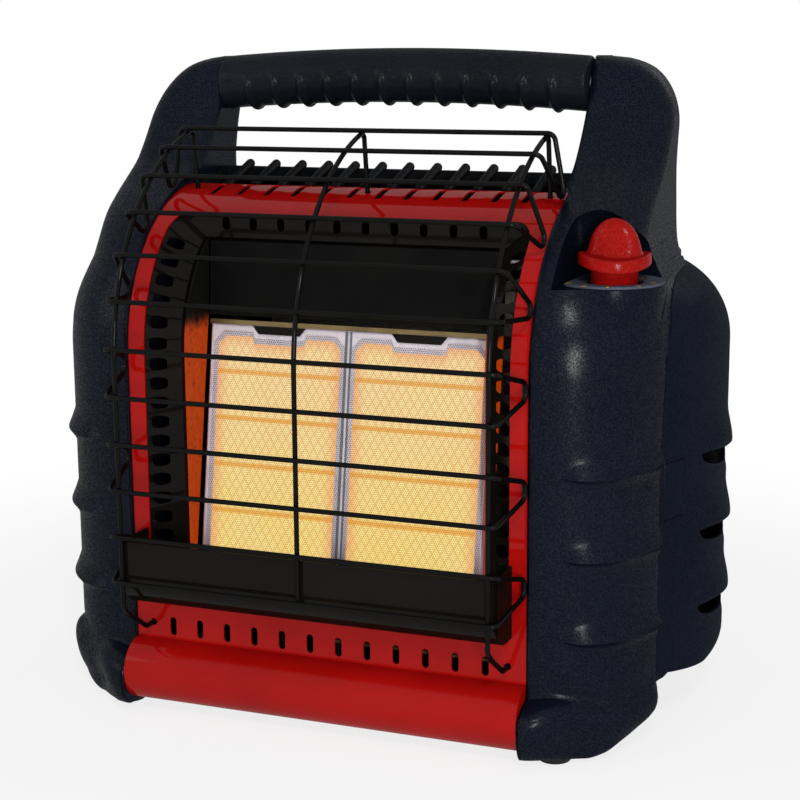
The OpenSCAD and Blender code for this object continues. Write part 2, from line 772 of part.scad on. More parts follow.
// Filled YZ outline of the rear cover, drawn in by the inset
module rear_area(inset) {
  translate([rear_y - rear_arc_r, dome_z]) circle(rear_arc_r - inset);
  translate([rear_y - rear_arc_r, base_z + 3]) square([rear_arc_r - inset, dome_z - base_z - 3]);
  polygon([[22, dome_z], [22, arch_z + arch_r + 8 - inset], [rear_y - rear_arc_r + 10, dome_z + rear_arc_r - inset],
           [rear_y - rear_arc_r + 10, dome_z]]);
}

module rear_skin() difference() {
  rear_area(0);
  rear_area(rear_wall);
  translate([-rear_y, 0]) square([rear_y + 22 - 0.01, arm_top]);
  translate([0, 0]) square([rear_y - 15, dome_z]);
}

module rear_cover() color([0.12, 0.14, 0.19]) difference() {
  union() {
    intersection() {
      along_x(2 * core_half - 0.6) rear_skin();
      block([-core_half, 0, 0], [core_half, rear_y + over, roof_z + wall + 1]);
    }
    intersection() {
      along_x(2 * arm_in - 0.6) rear_skin();
      block([-arm_in, 0, roof_z + wall + 0.3], [arm_in, rear_y + over, arm_top]);
    }
    for (s = [-1, 1]) translate([s * (arm_in - 0.3 - rear_wall / 2), 0, 0]) intersection() {
      along_x(rear_wall) difference() {
        rear_area(rear_wall / 2);
        translate([-rear_y, 0]) square([rear_y + 22, arm_top]);
      }
      block([-5, 0, roof_z + wall + 0.3], [5, rear_y + over, arm_top]);
    }
    // ears that hold the battery lid's pivots
    for (s = [-1, 1]) translate([s * ear_x, rear_y - 4, lid_hinge_z]) rotate([0, 90, 0])
      cylinder(r = 3, h = 4, center = true);
  }
  // fan grille: slots inside a circle
  span_y(rear_y - rear_wall - over, rear_y + over) intersection() {
    translate([0, fan_z]) circle(fan_r + 2);
    for (i = [-5 : 5]) translate([-fan_r - 5, fan_z + i * 9.4 - 3]) square([2 * fan_r + 10, 6]);
    union() {
      translate([-fan_r - 5, 0]) square([fan_r + 3, arm_top]);
      translate([2, 0]) square([fan_r + 3, arm_top]);
    }
  }
  // opening for the battery lid
  block([-lid_half - 0.5, rear_y - rear_wall - over, base_z], [lid_half + 0.5, rear_y + over, battery_z0 + battery_h]);
  for (s = [-1, 1]) translate([s * ear_x, rear_y - 4, lid_hinge_z]) rotate([0, 90, 0])
    cylinder(r = small_pin_r + run_gap, h = 12, center = true);
  // switch and jack openings
  block([switch_x - switch_w / 2, rear_y - 6, switch_z - switch_h / 2], [switch_x + switch_w / 2, rear_y + over, switch_z + switch_h / 2]);
  translate([-switch_x, rear_y + over, switch_z]) rotate([90, 0, 0]) cylinder(r = jack_r + 0.05, h = 8);
}

module base_pan() color([0.2, 0.2, 0.2]) {
  block([-core_half + 0.3, bay_front + over, base_z], [core_half - 0.3, rear_y - rear_wall - 0.3, base_z + 2.5]);
  block([-half_case + 0.5, -case_y + flange + 0.5, base_z], [half_case - 0.5, bay_front - 0.5, base_z + 2.5]);
  block([-core_half + 0.3, bay_front - over, base_z], [core_half - 0.3, bay_front + 2, base_z + 2.5]);
  block([-half_case + 10, -case_y + flange + 0.5, base_z], [half_case - 10, -case_y + flange + 2, lip_z - 8]);
}

module deck_grille() color([0.1, 0.11, 0.12]) {
  rib_r = 3;
  rear = [20, arch_z + arch_r + 8];
  front = [case_rear + 1.5, arch_z + arch_r - 2];
  for (i = [0 : slot_count - 1]) {
    bar([row_x(i), front[0], front[1]], [row_x(i), rear[0] - 4, rear[1] + 2], rib_r);
    translate([row_x(i), rear[0] - 4, rear[1] + 2]) sphere(rib_r + 0.05);
  }
  block([-arm_in + 0.3, rear[0] - 4, rear[1] - 7], [arm_in - 0.3, rear[0] + 1.7, rear[1]]);
  block([-arm_in + 0.3, case_rear + 0.3, front[1] - 5], [arm_in - 0.3, case_rear + 4, front[1] + 1]);
  for (s = [-1, 1]) translate([s * (arm_in - 2.3), 0, 0]) along_x(4)
    polygon([[case_rear + 0.3, front[1] - 5], [rear[0] + 1.7, rear[1] - 7], [rear[0] + 1.7, rear[1]], [case_rear + 0.3, front[1] + 1]]);
}

module handle_grip() color([0.12, 0.14, 0.19]) difference() {
  intersection() {
    translate([0, grip_y, grip_end_z + grip_rise - grip_bow_r]) rotate([90, 0, 0]) rotate([0, 0, 80])
      rotate_extrude(angle = 20, $fn = 1440) translate([grip_bow_r, 0]) circle(grip_r, $fn = 48);
    block([-arm_in + 0.2, grip_y - 2 * grip_r, arm_top - 60], [arm_in - 0.2, grip_y + 2 * grip_r, arm_top + 60]);
  }
  translate([-arm_in - over, grip_y, grip_end_z]) rotate([0, 90, 0]) cylinder(r = rod_r + 0.05, h = 2 * arm_in + 2 * over);
}

module handle_rod() color([0.7, 0.7, 0.7])
  translate([-arm_in - 20, grip_y, grip_end_z]) rotate([0, 90, 0]) cylinder(r = rod_r, h = 2 * arm_in + 40);

module feet() color([0.06, 0.06, 0.06]) for (s = [-1, 1], p = foot_at) translate([s * p[0], p[1], 0]) difference() {
  union() {
    cylinder(r1 = foot_r - foot_taper, r2 = foot_r, h = foot_taper_h);
    translate([0, 0, foot_taper_h]) cylinder(r = foot_r, h = base_z - foot_taper_h);
  }
  translate([0, 0, -over]) cylinder(r = screw_head_r + 0.4, h = 2 * screw_head_h + over);
  cylinder(r = screw_r + 0.1, h = base_z + over);
}

// ---- doors ----

module door_skin() intersection() {
  translate([pod_x, pod_y, 0]) rotate([0, 0, -50]) rotate_extrude(angle = 50 + door_end) difference() {
    pod_area(0);
    translate([-over, 0]) pod_area(door_wall);
    square([door_inner_r, arm_top]);
  }
  span_x(half_case, flank_x + 60) door_side(0);
  block([half_case, door_y0, 0], [flank_x + 60, rear_y + over, arm_top]);
}

module door() difference() {
  union() {
    door_skin();
    for (z = knuckle_z) {
      translate([hinge_x, hinge_y, z]) cylinder(r = knuckle_r, h = knuckle_h);
      translate([hinge_x, hinge_y, z]) rotate([0, 0, door_end]) translate([3, -3.5, 1])
        cube([hinge_inset - door_wall / 2 - 3, 3, knuckle_h - 2]);
    }
  }
  for (z = knuckle_z) translate([hinge_x, hinge_y, z - over]) cylinder(r = hinge_pin_r + run_gap, h = knuckle_h + 2 * over);
  // vent slots
  for (i = [0 : 2]) translate([pod_x, pod_y, vent_z + i * vent_pitch]) rotate([0, 0, vent_from])
    rotate_extrude(angle = vent_sweep) translate([pod_r - 12, -vent_h / 2]) square([24, vent_h]);
}

module door_right() color([0.1, 0.12, 0.17]) door();
module door_left() color([0.1, 0.12, 0.17]) mirror([1, 0, 0]) door();

module hinge_pin() translate([hinge_x, hinge_y, knuckle_z[0] - 9]) cylinder(r = hinge_pin_r, h = knuckle_z[1] - knuckle_z[0] + knuckle_h + 18);
module hinge_pin_right() color([0.75, 0.75, 0.75]) hinge_pin();
module hinge_pin_left() color([0.75, 0.75, 0.75]) mirror([1, 0, 0]) hinge_pin();

// ---- burner ----

// Places a piece in the burner's leaning frame: x across, y into the burner, z up the face
module on_burner() translate([0, burner_y, burner_z]) rotate([-lean, 0, 0]) children();

module plaque() on_burner() difference() {
  block([1, 0, 0], [1 + plaque_w, plaque_t, plaque_h]);
  translate([1 + plaque_w / 2, 0, plaque_h / 2]) rotate([90, 0, 0])
    linear_extrude(0.8, center = true) round_rect(plaque_w - 16, plaque_h - 16, 6);
}

module plaque_right() color([0.95, 0.85, 0.6]) plaque();
module plaque_left() color([0.95, 0.85, 0.6]) mirror([1, 0, 0]) plaque();

module plaque_gasket() color([0.85, 0.85, 0.85]) on_burner() difference() {
  block([-box_half, 1, -gasket_t], [box_half, plaque_t + 3, plaque_h + gasket_t]);
  for (s = [-1, 1]) translate([s * (1 + plaque_w / 2), 0, 0]) {
    block([-plaque_w / 2, 0, 0], [plaque_w / 2, plaque_t, plaque_h]);
    block([-plaque_w / 2 + 5, 0, 5], [plaque_w / 2 - 5, plaque_t + 4, plaque_h - 5]);
  }
}

module burner_box() color([0.5, 0.5, 0.5]) difference() {
  on_burner() difference() {
    block([-box_half - sheet, 2, -gasket_t - sheet], [box_half + sheet, plenum_d, plaque_h + gasket_t + sheet]);
    block([-box_half, 0, -gasket_t], [box_half, plaque_t + 3, plaque_h + gasket_t]);
    block([-box_half + 2, 0, -gasket_t + 2], [box_half - 2, plenum_d - sheet, plaque_h + gasket_t - 2]);
  }
  for (s = [-1, 1]) translate([s * venturi_x, -10, venturi_z]) rotate([90, 0, 0]) cylinder(r = venturi_r + touch_gap, h = 26);
}

module burner_trim() color([0.8, 0.72, 0.5]) on_burner() {
  block([-box_half, -1.5, plaque_h + gasket_t + sheet], [box_half, 6, plaque_h + gasket_t + 2 * sheet]);
  block([-box_half, -2.5, plaque_h + gasket_t - 1], [box_half, -1.5, plaque_h + gasket_t + 2 * sheet]);
}

clip_half = 18;              // half the upper width of a clip
clip_h = 5;
clip_t = 1;

// A clip with slanted ends at the middle of each plaque's upper edge
module plaque_clip() color([0.25, 0.22, 0.2]) on_burner() for (s = [-1, 1])
  span_y(-clip_t - 0.4, -0.4) translate([s * (1 + plaque_w / 2), plaque_h + touch_gap])
    polygon([[-clip_half, 0], [-clip_half + 4, -clip_h], [clip_half - 4, -clip_h], [clip_half, 0]]);

module venturi(x) difference() {
  union() {
    translate([x, venturi_rear, venturi_z]) rotate([90, 0, 0]) cylinder(r = venturi_r, h = venturi_rear + 40);
    translate([x, venturi_rear, venturi_z]) rotate([90, 0, 0]) cylinder(r1 = venturi_r + 6, r2 = venturi_r, h = 14);
  }
  translate([x, venturi_rear + over, venturi_z]) rotate([90, 0, 0]) cylinder(r = venturi_r - 1.5, h = venturi_rear + 45);
  translate([x, venturi_rear + 0.01, venturi_z]) rotate([90, 0, 0]) cylinder(r1 = venturi_r + 4.5, r2 = venturi_r - 1.5, h = 14);
}

module venturi_left() color([0.6, 0.6, 0.6]) venturi(-venturi_x);
module venturi_right() color([0.6, 0.6, 0.6]) venturi(venturi_x);

module orifice_bar() color([0.78, 0.63, 0.3]) {
  translate([-venturi_x - 12, orifice_y, venturi_z]) rotate([0, 90, 0]) cylinder(r = 6, h = 2 * venturi_x + 24, $fn = 6);
  for (s = [-1, 1]) translate([s * venturi_x, orifice_y, venturi_z]) rotate([90, 0, 0]) cylinder(r = 3, h = 16);
}

// YZ outline of a side reflector
module reflector_area() intersection() {
  union() {
    translate([arch_y, arch_z]) circle(frame_inner_r - 2);
    translate([arch_y - frame_inner_r + 2, window_z0 + 5]) square([100, arch_z - window_z0 - 5]);
  }
  polygon([[-case_y, window_z0 + 5], [-88, window_z0 + 5], [-60, 252], [-57, 298], [-case_y, 298]]);
}

module reflector(s) translate([s * (chamber_half - sheet / 2 + 0.1), 0, 0]) along_x(sheet) reflector_area();
module reflector_left() color([0.75, 0.75, 0.75]) reflector(-1);
module reflector_right() color([0.75, 0.75, 0.75]) reflector(1);

module reflector_top() color([0.12, 0.12, 0.12]) along_x(2 * chamber_half - 2.4)
  polygon([[-59, 249.8], [-57.8, 249.8], [-54.8, 296], [-50, 298.5], [-50, 299.5], [-56, 296.5]]);

module reflector_bottom() color([0.6, 0.6, 0.6]) difference() {
  union() {
    block([-chamber_half + 1.2, -case_y + case_t + 0.2, window_z0 + 3], [chamber_half - 1.2, -86.2, window_z0 + 4]);
    block([-chamber_half + 1.2, -87.2, window_z0 + 3], [chamber_half - 1.2, -86.2, burner_z - 3]);
  }
  for (x = pilot_xs) translate([x, pilot_y, window_z0]) cylinder(r = 3, h = 10);
}

module heat_shield() color([0.6, 0.6, 0.6]) {
  block([-94, 22, 135], [94, 23.2, 268]);
  block([-94, -21, 135], [94, 23.2, 136.2]);
}

// ---- pilot ----

pilot_y = -96;
pilot_xs = [-7, 8, 22];      // thermocouple, pilot tube and electrode
pilot_z = window_z0 + 4;

module pilot_bracket() color([0.7, 0.7, 0.7]) difference() {
  union() {
    block([-14, pilot_y - 6, pilot_z], [30, pilot_y + 6, pilot_z + 1.5]);
    block([-14, pilot_y + 5, pilot_z], [30, pilot_y + 6, pilot_z + 8]);
    block([-14, pilot_y - 5, pilot_z + 8], [30, pilot_y + 6, pilot_z + 9.5]);
  }
  translate([pilot_xs[0], pilot_y, pilot_z - over]) cylinder(r = 1.8 + touch_gap, h = 16);
  translate([pilot_xs[1], pilot_y, pilot_z - over]) cylinder(r = 2.5 + touch_gap, h = 16);
  translate([pilot_xs[2], pilot_y, pilot_z - over]) cylinder(r = 2.6 + touch_gap, h = 16);
}

lead_x = half_case - 18;     // the leads rise in the gap beside the reflectors

module pilot_burner() color([0.75, 0.6, 0.3]) {
  x = pilot_xs[1];
  bent([[x, pilot_y, pilot_z + 10], [x, pilot_y, window_z0 - 14], [lead_x + 7, pilot_y, window_z0 - 14],
        [lead_x + 7, knob_y - 7, window_z0 - 14], [lead_x + 7, knob_y - 7, valve_z0 + 14],
        [knob_x - valve_r + 2, knob_y - 7, valve_z0 + 14]], 2.5, 5);
  translate([x, pilot_y, pilot_z + 9.6]) cylinder(r = 4, h = 14);
}

module thermocouple() color([0.72, 0.5, 0.35]) {
  x = pilot_xs[0];
  bent([[x, pilot_y, pilot_z + 20], [x, pilot_y, window_z0 - 20], [lead_x + 13, pilot_y, window_z0 - 20],
        [lead_x + 13, knob_y - 7, window_z0 - 20], [lead_x + 13, knob_y - 7, valve_z0 + 6],
        [knob_x - valve_r + 2, knob_y - 7, valve_z0 + 6]], 1.2, 4);
  translate([x, pilot_y, pilot_z + 2]) cylinder(r = 1.8, h = 20);
}

module spark_electrode() color([0.9, 0.9, 0.88]) {
  x = pilot_xs[2];
  bent([[x, pilot_y, pilot_z + 18], [x, pilot_y, window_z0 - 8], [lead_x, pilot_y, window_z0 - 8],
        [lead_x, piezo_y, window_z0 - 8], [lead_x, piezo_y, valve_z0 + 24], [piezo_x - 6, piezo_y, valve_z0 + 24]], 1.2, 4);
  translate([x, pilot_y, pilot_z + 0.2]) cylinder(r = 2.6, h = 12);
}

// ---- valve, knob and igniter ----

piezo_x = half_case + 18;
piezo_y = -34;

module gas_valve() color([0.8, 0.68, 0.35]) difference() {
  union() {
    translate([knob_x, knob_y, valve_z0]) cylinder(r = valve_r, h = valve_z1 - valve_z0 - 10);
    translate([knob_x, knob_y, valve_z1 - 10]) cylinder(r = 9, h = 10);
  }
  translate([knob_x, knob_y, valve_z0 + 8]) cylinder(r = stem_r + run_gap, h = 60);
  // ports for the tubes
  translate([knob_x - valve_r - 2, knob_y - 7, valve_z0 + 14]) rotate([0, 90, 0]) cylinder(r = 2.5 + touch_gap, h = 6);
  translate([knob_x - valve_r - 2, knob_y - 7, valve_z0 + 6]) rotate([0, 90, 0]) cylinder(r = 1.2 + touch_gap, h = 6);
  for (p = [[feed_port_y, feed_z], [manifold_port_y, manifold_z]])
    translate([knob_x - valve_r - 2, p[0], p[1]]) rotate([0, 90, 0]) cylinder(r = tube_r + touch_gap, h = 8);
}

stem_foot_z = valve_z0 + 8 + push_travel + 2;

module valve_stem() color([0.75, 0.75, 0.75]) {
  translate([knob_x, knob_y, stem_foot_z]) cylinder(r = stem_r, h = ledge_z + 12 - stem_foot_z);
  translate([knob_x, knob_y, valve_z1 + push_travel + 2]) cylinder(r = 7, h = 3);
}

collar_hollow = 20;              // depth of the hollow under the collar

module knob() color([0.7, 0.06, 0.06]) difference() {
  union() {
    translate([knob_x, knob_y, ledge_z - 22]) cylinder(r = collar_r, h = 33);
    translate([knob_x, knob_y, rim_z]) cylinder(r = knob_r, h = rim_t);
    translate([knob_x, knob_y, rim_z + rim_t - over]) {
      rotate([90, 0, 0]) linear_extrude(wing_t, center = true)
        polygon([for (a = [0 : 10 : 180]) [wing_r * cos(a), (wing_h + over) * sin(a)]]);
      cylinder(r1 = wing_r + 1, r2 = wing_r / 2, h = wing_h / 2);
    }
  }
  translate([knob_x, knob_y, ledge_z - 23]) cylinder(r = stem_r + run_gap, h = 35.5);
  translate([knob_x, knob_y, ledge_z - 23]) cylinder(r = collar_r - 2, h = collar_hollow);
}

module dial_plate() color([0.3, 0.31, 0.33]) difference() {
  intersection() {
    translate([boss_x, boss_y, ledge_z]) cylinder(r = boss_outline[5][0] - 0.4, h = dial_t);
    niche(-0.4);
  }
  translate([knob_x, knob_y, ledge_z - over]) cylinder(r = stem_hole_r, h = 10);
}

module valve_bracket() color([0.65, 0.65, 0.65]) difference() {
  block([half_case + 4, knob_y - 15, valve_z0 - 3], [knob_x + 12, bay_front - touch_gap, valve_z0 - 0.5]);
  translate([piezo_x, piezo_y, valve_z0 - 10]) cylinder(r = 2, h = 20);
}

module piezo_igniter() color([0.9, 0.9, 0.88]) {
  translate([piezo_x, piezo_y, valve_z0 - 0.2]) cylinder(r = 6, h = 34);
  translate([piezo_x, piezo_y, valve_z0 + 33.8]) cylinder(r = 3, h = 10);
}

// ---- gas tubes, swivels and regulators ----

feed_port_y = knob_y + 8;
manifold_port_y = knob_y;
feed_z = valve_z0 + 34;
manifold_z = valve_z0 + 22;

module manifold_tube() color([0.75, 0.75, 0.72])
  bent([[knob_x - valve_r + 2, manifold_port_y, manifold_z], [tube_x, manifold_port_y + 14, manifold_z],
        [tube_x, orifice_y, manifold_z], [tube_x, orifice_y, venturi_z], [venturi_x + 12, orifice_y, venturi_z]], tube_r, 8);

module feed_tube() color([0.75, 0.75, 0.72]) {
  block([tube_x - 5, tee_y - 6, tube_z - 6], [core_half - 0.5, tee_y + 6, tube_z + 6]);
  bent([[tube_x, tee_y, tube_z - 5], [tube_x, tee_y, feed_z + 6], [tube_x, feed_port_y + 10, feed_z + 6],
        [knob_x - valve_r + 4, feed_port_y, feed_z]], tube_r, 5);
}

module supply_tube_right() color([0.75, 0.75, 0.72])
  bent([[post_x - 2, post_y, tube_z], [tube_x, post_y, tube_z], [tube_x, tee_y - 6, tube_z]], tube_r, 4);

module supply_tube_left() color([0.75, 0.75, 0.72])
  bent([[-post_x + 2, post_y, tube_z], [-tube_x, post_y, tube_z], [-tube_x, tee_y, tube_z], [tube_x - 5, tee_y, tube_z]], tube_r, 5);

module swivel_post() difference() {
  union() {
    translate([post_x, post_y, reg_z - 4]) cylinder(r = post_r, h = post_top - reg_z + 4);
    translate([post_x, post_y, reg_z - 6]) cylinder(r = post_r + 3, h = 5.5);
    translate([post_x, post_y, post_top - 4]) cylinder(r = post_r + 4, h = 4);
  }
  translate([post_x - post_r - over, post_y, tube_z]) rotate([0, 90, 0]) cylinder(r = tube_r + touch_gap, h = post_r);
}

module swivel_post_right() color([0.78, 0.63, 0.3]) swivel_post();
module swivel_post_left() color([0.78, 0.63, 0.3]) mirror([1, 0, 0]) swivel_post();

module regulator() difference() {
  union() {
    translate([post_x, post_y, reg_z]) cylinder(r = post_r + 4, h = 12);
    translate([cyl_x, cyl_y, reg_z]) cylinder(r = reg_r, h = reg_h - 5);
    translate([cyl_x, cyl_y, reg_z + reg_h - 5]) cylinder(r = reg_r - 7, h = 5);
    translate([cyl_x, cyl_y, reg_z - inlet_h]) cylinder(r = inlet_r + 4, h = inlet_h + over);
    translate([post_x, post_y, reg_z + 2]) rotate([0, 0, atan2(cyl_y - post_y, cyl_x - post_x)])
      translate([post_r + 2, -6, 0]) cube([20, 12, 8]);
  }
  translate([post_x, post_y, reg_z - 2 * over]) cylinder(r = post_r + run_gap, h = 20);
  translate([cyl_x, cyl_y, reg_z - inlet_h - over]) cylinder(r = inlet_r, h = inlet_h + over);
}

module regulator_right() color([0.55, 0.55, 0.57]) regulator();
module regulator_left() color([0.55, 0.55, 0.57]) mirror([1, 0, 0]) regulator();

// ---- fan, switch, jack and battery ----

motor_l = 24;

module fan_motor() color([0.4, 0.4, 0.42]) {
  translate([0, rear_y - rear_wall - 0.2, fan_z]) rotate([90, 0, 0]) cylinder(r = motor_r, h = motor_l);
  translate([0, rear_y - rear_wall - motor_l, fan_z]) rotate([90, 0, 0])
    cylinder(r = small_pin_r, h = rear_y - rear_wall - motor_l - rotor_y + 2);
}

module fan_rotor() color([0.15, 0.15, 0.15]) difference() {
  union() {
    translate([0, rotor_y + 12, fan_z]) rotate([90, 0, 0]) cylinder(r = 13, h = 12);
    for (a = [0 : 72 : 288]) translate([0, rotor_y + 6, fan_z]) rotate([0, a, 0])
      translate([12, 0, 0]) rotate([30, 0, 0]) translate([0, -0.9, -9]) cube([fan_r - 13, 1.8, 18]);
  }
  translate([0, rotor_y + 20, fan_z]) rotate([90, 0, 0]) cylinder(r = small_pin_r + run_gap, h = 40);
}

module fan_shroud() color([0.2, 0.2, 0.2]) {
  difference() {
    translate([0, rear_y - rear_wall - 0.6, fan_z]) rotate([90, 0, 0]) cylinder(r = fan_r + 5, h = 46);
    translate([0, rear_y, fan_z]) rotate([90, 0, 0]) cylinder(r = fan_r + 3, h = 60);
  }
}

rocker_y = rear_y - 3;

module switch_housing() color([0.08, 0.08, 0.08]) difference() {
  union() {
    block([switch_x - switch_w / 2 + 0.2, rear_y - 22, switch_z - switch_h / 2 + 0.2],
          [switch_x + switch_w / 2 - 0.2, rear_y - 0.2, switch_z + switch_h / 2 - 0.2]);
  }
  block([switch_x - switch_w / 2 + 3, rear_y - 16, switch_z - switch_h / 2 + 3],
        [switch_x + switch_w / 2 - 3, rear_y + over, switch_z + switch_h / 2 - 3]);
  translate([switch_x, rocker_y - 4, switch_z]) rotate([0, 90, 0]) cylinder(r = small_pin_r + run_gap, h = switch_w - 3, center = true);
}

module switch_rocker() color([0.5, 0.06, 0.05]) translate([switch_x, rocker_y - 4, switch_z]) rotate([rocker_tilt, 0, 0]) {
  block([-switch_w / 2 + 3.6, -4, -switch_h / 2 + 5], [switch_w / 2 - 3.6, 4, switch_h / 2 - 5]);
  rotate([0, 90, 0]) cylinder(r = small_pin_r, h = switch_w - 4, center = true);
}

module power_jack() color([0.08, 0.08, 0.08]) difference() {
  union() {
    translate([-switch_x, rear_y - 0.1, switch_z]) rotate([90, 0, 0]) cylinder(r = jack_r, h = 14);
    translate([-switch_x, rear_y - rear_wall - 0.1, switch_z]) rotate([90, 0, 0]) cylinder(r = jack_r + 3, h = 3);
  }
  translate([-switch_x, rear_y, switch_z]) rotate([90, 0, 0]) cylinder(r = 2.75, h = 10);
}

module battery_box() color([0.1, 0.1, 0.1]) difference() {
  block([-battery_l / 2 - battery_wall, battery_y0 - battery_wall, battery_z0 - battery_wall],
        [battery_l / 2 + battery_wall, battery_y1, battery_z0 + battery_h + battery_wall]);
  block([-battery_l / 2, battery_y0, battery_z0], [battery_l / 2, battery_y1 + over, battery_z0 + battery_h]);
}

module battery_door() color([0.12, 0.14, 0.19]) {
  block([-lid_half, rear_y - 2.4, lid_hinge_z - 1], [lid_half, rear_y - 0.2, battery_z0 + battery_h - 0.6]);
  for (s = [-1, 1]) translate([s * (lid_half - 4), rear_y - 4, lid_hinge_z]) rotate([0, 90, 0])
    cylinder(r = 2.4, h = 8, center = true);
  translate([0, rear_y - 4, lid_hinge_z]) rotate([0, 90, 0]) cylinder(r = small_pin_r, h = 2 * ear_x + 3, center = true);
}

// ---- tip-over switch and fasteners ----

module tip_bracket() color([0.6, 0.6, 0.6]) difference() {
  union() {
    block([tip_x - 14, tip_y - 9, base_z + 2.5], [tip_x + 14, tip_y + 9, base_z + 4]);
    for (s = [-1, 1]) translate([0, tip_y + s * 8, 0]) block([tip_x - 6, -1, base_z + 2.5], [tip_x + 6, 1, tip_pivot_z + 5]);
  }
  translate([tip_x, tip_y, tip_pivot_z]) rotate([90, 0, 0]) cylinder(r = small_pin_r + run_gap, h = 30, center = true);
}

module tip_pendulum() color([0.5, 0.45, 0.3]) {
  translate([tip_x, tip_y, tip_pivot_z]) rotate([90, 0, 0]) cylinder(r = small_pin_r, h = 19, center = true);
  translate([tip_x, tip_y, tip_pivot_z]) rotate([90, 0, 0]) cylinder(r = 3, h = 10, center = true);
  block([tip_x - 1.2, tip_y - 3, tip_pivot_z - 24], [tip_x + 1.2, tip_y + 3, tip_pivot_z - 2]);
  translate([tip_x, tip_y, tip_pivot_z - 26]) rotate([90, 0, 0]) cylinder(r = 7, h = 10, center = true);
}

module case_screws() color([0.75, 0.75, 0.75]) for (s = [-1, 1], p = foot_at) translate([s * p[0], p[1], screw_head_h]) {
  cylinder(r = screw_head_r, h = screw_head_h);
  translate([0, 0, screw_head_h]) cylinder(r = screw_r, h = base_z + wall - screw_head_h - over);
}

front_case();
inner_frame();
heat_tray();
guard_rings();
guard_uprights();
side_panel_left();
side_panel_right();
rear_cover();
base_pan();
deck_grille();
handle_grip();
handle_rod();
feet();
door_left();
door_right();
hinge_pin_left();
hinge_pin_right();
plaque_left();
plaque_right();
plaque_gasket();
burner_box();
burner_trim();
plaque_clip();
venturi_left();
venturi_right();
orifice_bar();
reflector_left();
reflector_right();
reflector_top();
reflector_bottom();
heat_shield();
pilot_bracket();
pilot_burner();
thermocouple();
spark_electrode();
gas_valve();
valve_stem();
knob();
dial_plate();
valve_bracket();
piezo_igniter();
manifold_tube();
feed_tube();
supply_tube_left();
supply_tube_right();
swivel_post_left();
swivel_post_right();
regulator_left();
regulator_right();
fan_motor();
fan_rotor();
fan_shroud();
switch_housing();
switch_rocker();
power_jack();
battery_box();
battery_door();
tip_bracket();
tip_pendulum();
case_screws();
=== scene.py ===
import json
import math

import bmesh
import bpy
from mathutils import Matrix, Vector


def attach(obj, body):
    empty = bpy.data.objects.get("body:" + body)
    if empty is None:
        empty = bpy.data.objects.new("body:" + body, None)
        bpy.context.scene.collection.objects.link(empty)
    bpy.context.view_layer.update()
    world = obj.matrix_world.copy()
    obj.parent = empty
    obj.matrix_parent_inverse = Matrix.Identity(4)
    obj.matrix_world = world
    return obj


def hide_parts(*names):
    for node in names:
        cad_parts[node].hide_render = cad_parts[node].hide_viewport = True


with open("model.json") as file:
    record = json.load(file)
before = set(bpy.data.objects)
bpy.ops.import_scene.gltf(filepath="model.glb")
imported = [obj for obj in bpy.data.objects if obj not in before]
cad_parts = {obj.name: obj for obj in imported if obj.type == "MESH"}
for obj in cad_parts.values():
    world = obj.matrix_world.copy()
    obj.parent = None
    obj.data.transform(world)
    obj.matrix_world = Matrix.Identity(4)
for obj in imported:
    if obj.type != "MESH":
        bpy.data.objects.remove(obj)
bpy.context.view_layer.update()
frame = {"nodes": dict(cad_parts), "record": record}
nodes = frame["nodes"]
record = frame["record"]
mm = 0.001
print("frame loaded")


class Sock:
    # an output of a node, with arithmetic
    def __init__(self, finish, socket):
        self.finish, self.socket = finish, socket

    def maths(self, operation, *others):
        return self.finish.add("ShaderNodeMath", {"operation": operation}, dict(enumerate((self, *others))))

    def __add__(self, other):
        return self.maths("ADD", other)

    def __sub__(self, other):
        return self.maths("SUBTRACT", other)

    def __rsub__(self, other):
        return (self * -1) + other

    def __mul__(self, other):
        return self.maths("MULTIPLY", other)

    def __truediv__(self, other):
        return self.maths("DIVIDE", other)

    def __abs__(self):
        return self.maths("ABSOLUTE")

    __radd__, __rmul__ = __add__, __mul__

    def above(self, level, softness):
        # 0 below the level and 1 above it, with a soft step
        return self.finish.add("ShaderNodeMapRange", {"interpolation_type": "SMOOTHSTEP"},
                               {0: self, 1: level - softness, 2: level + softness})


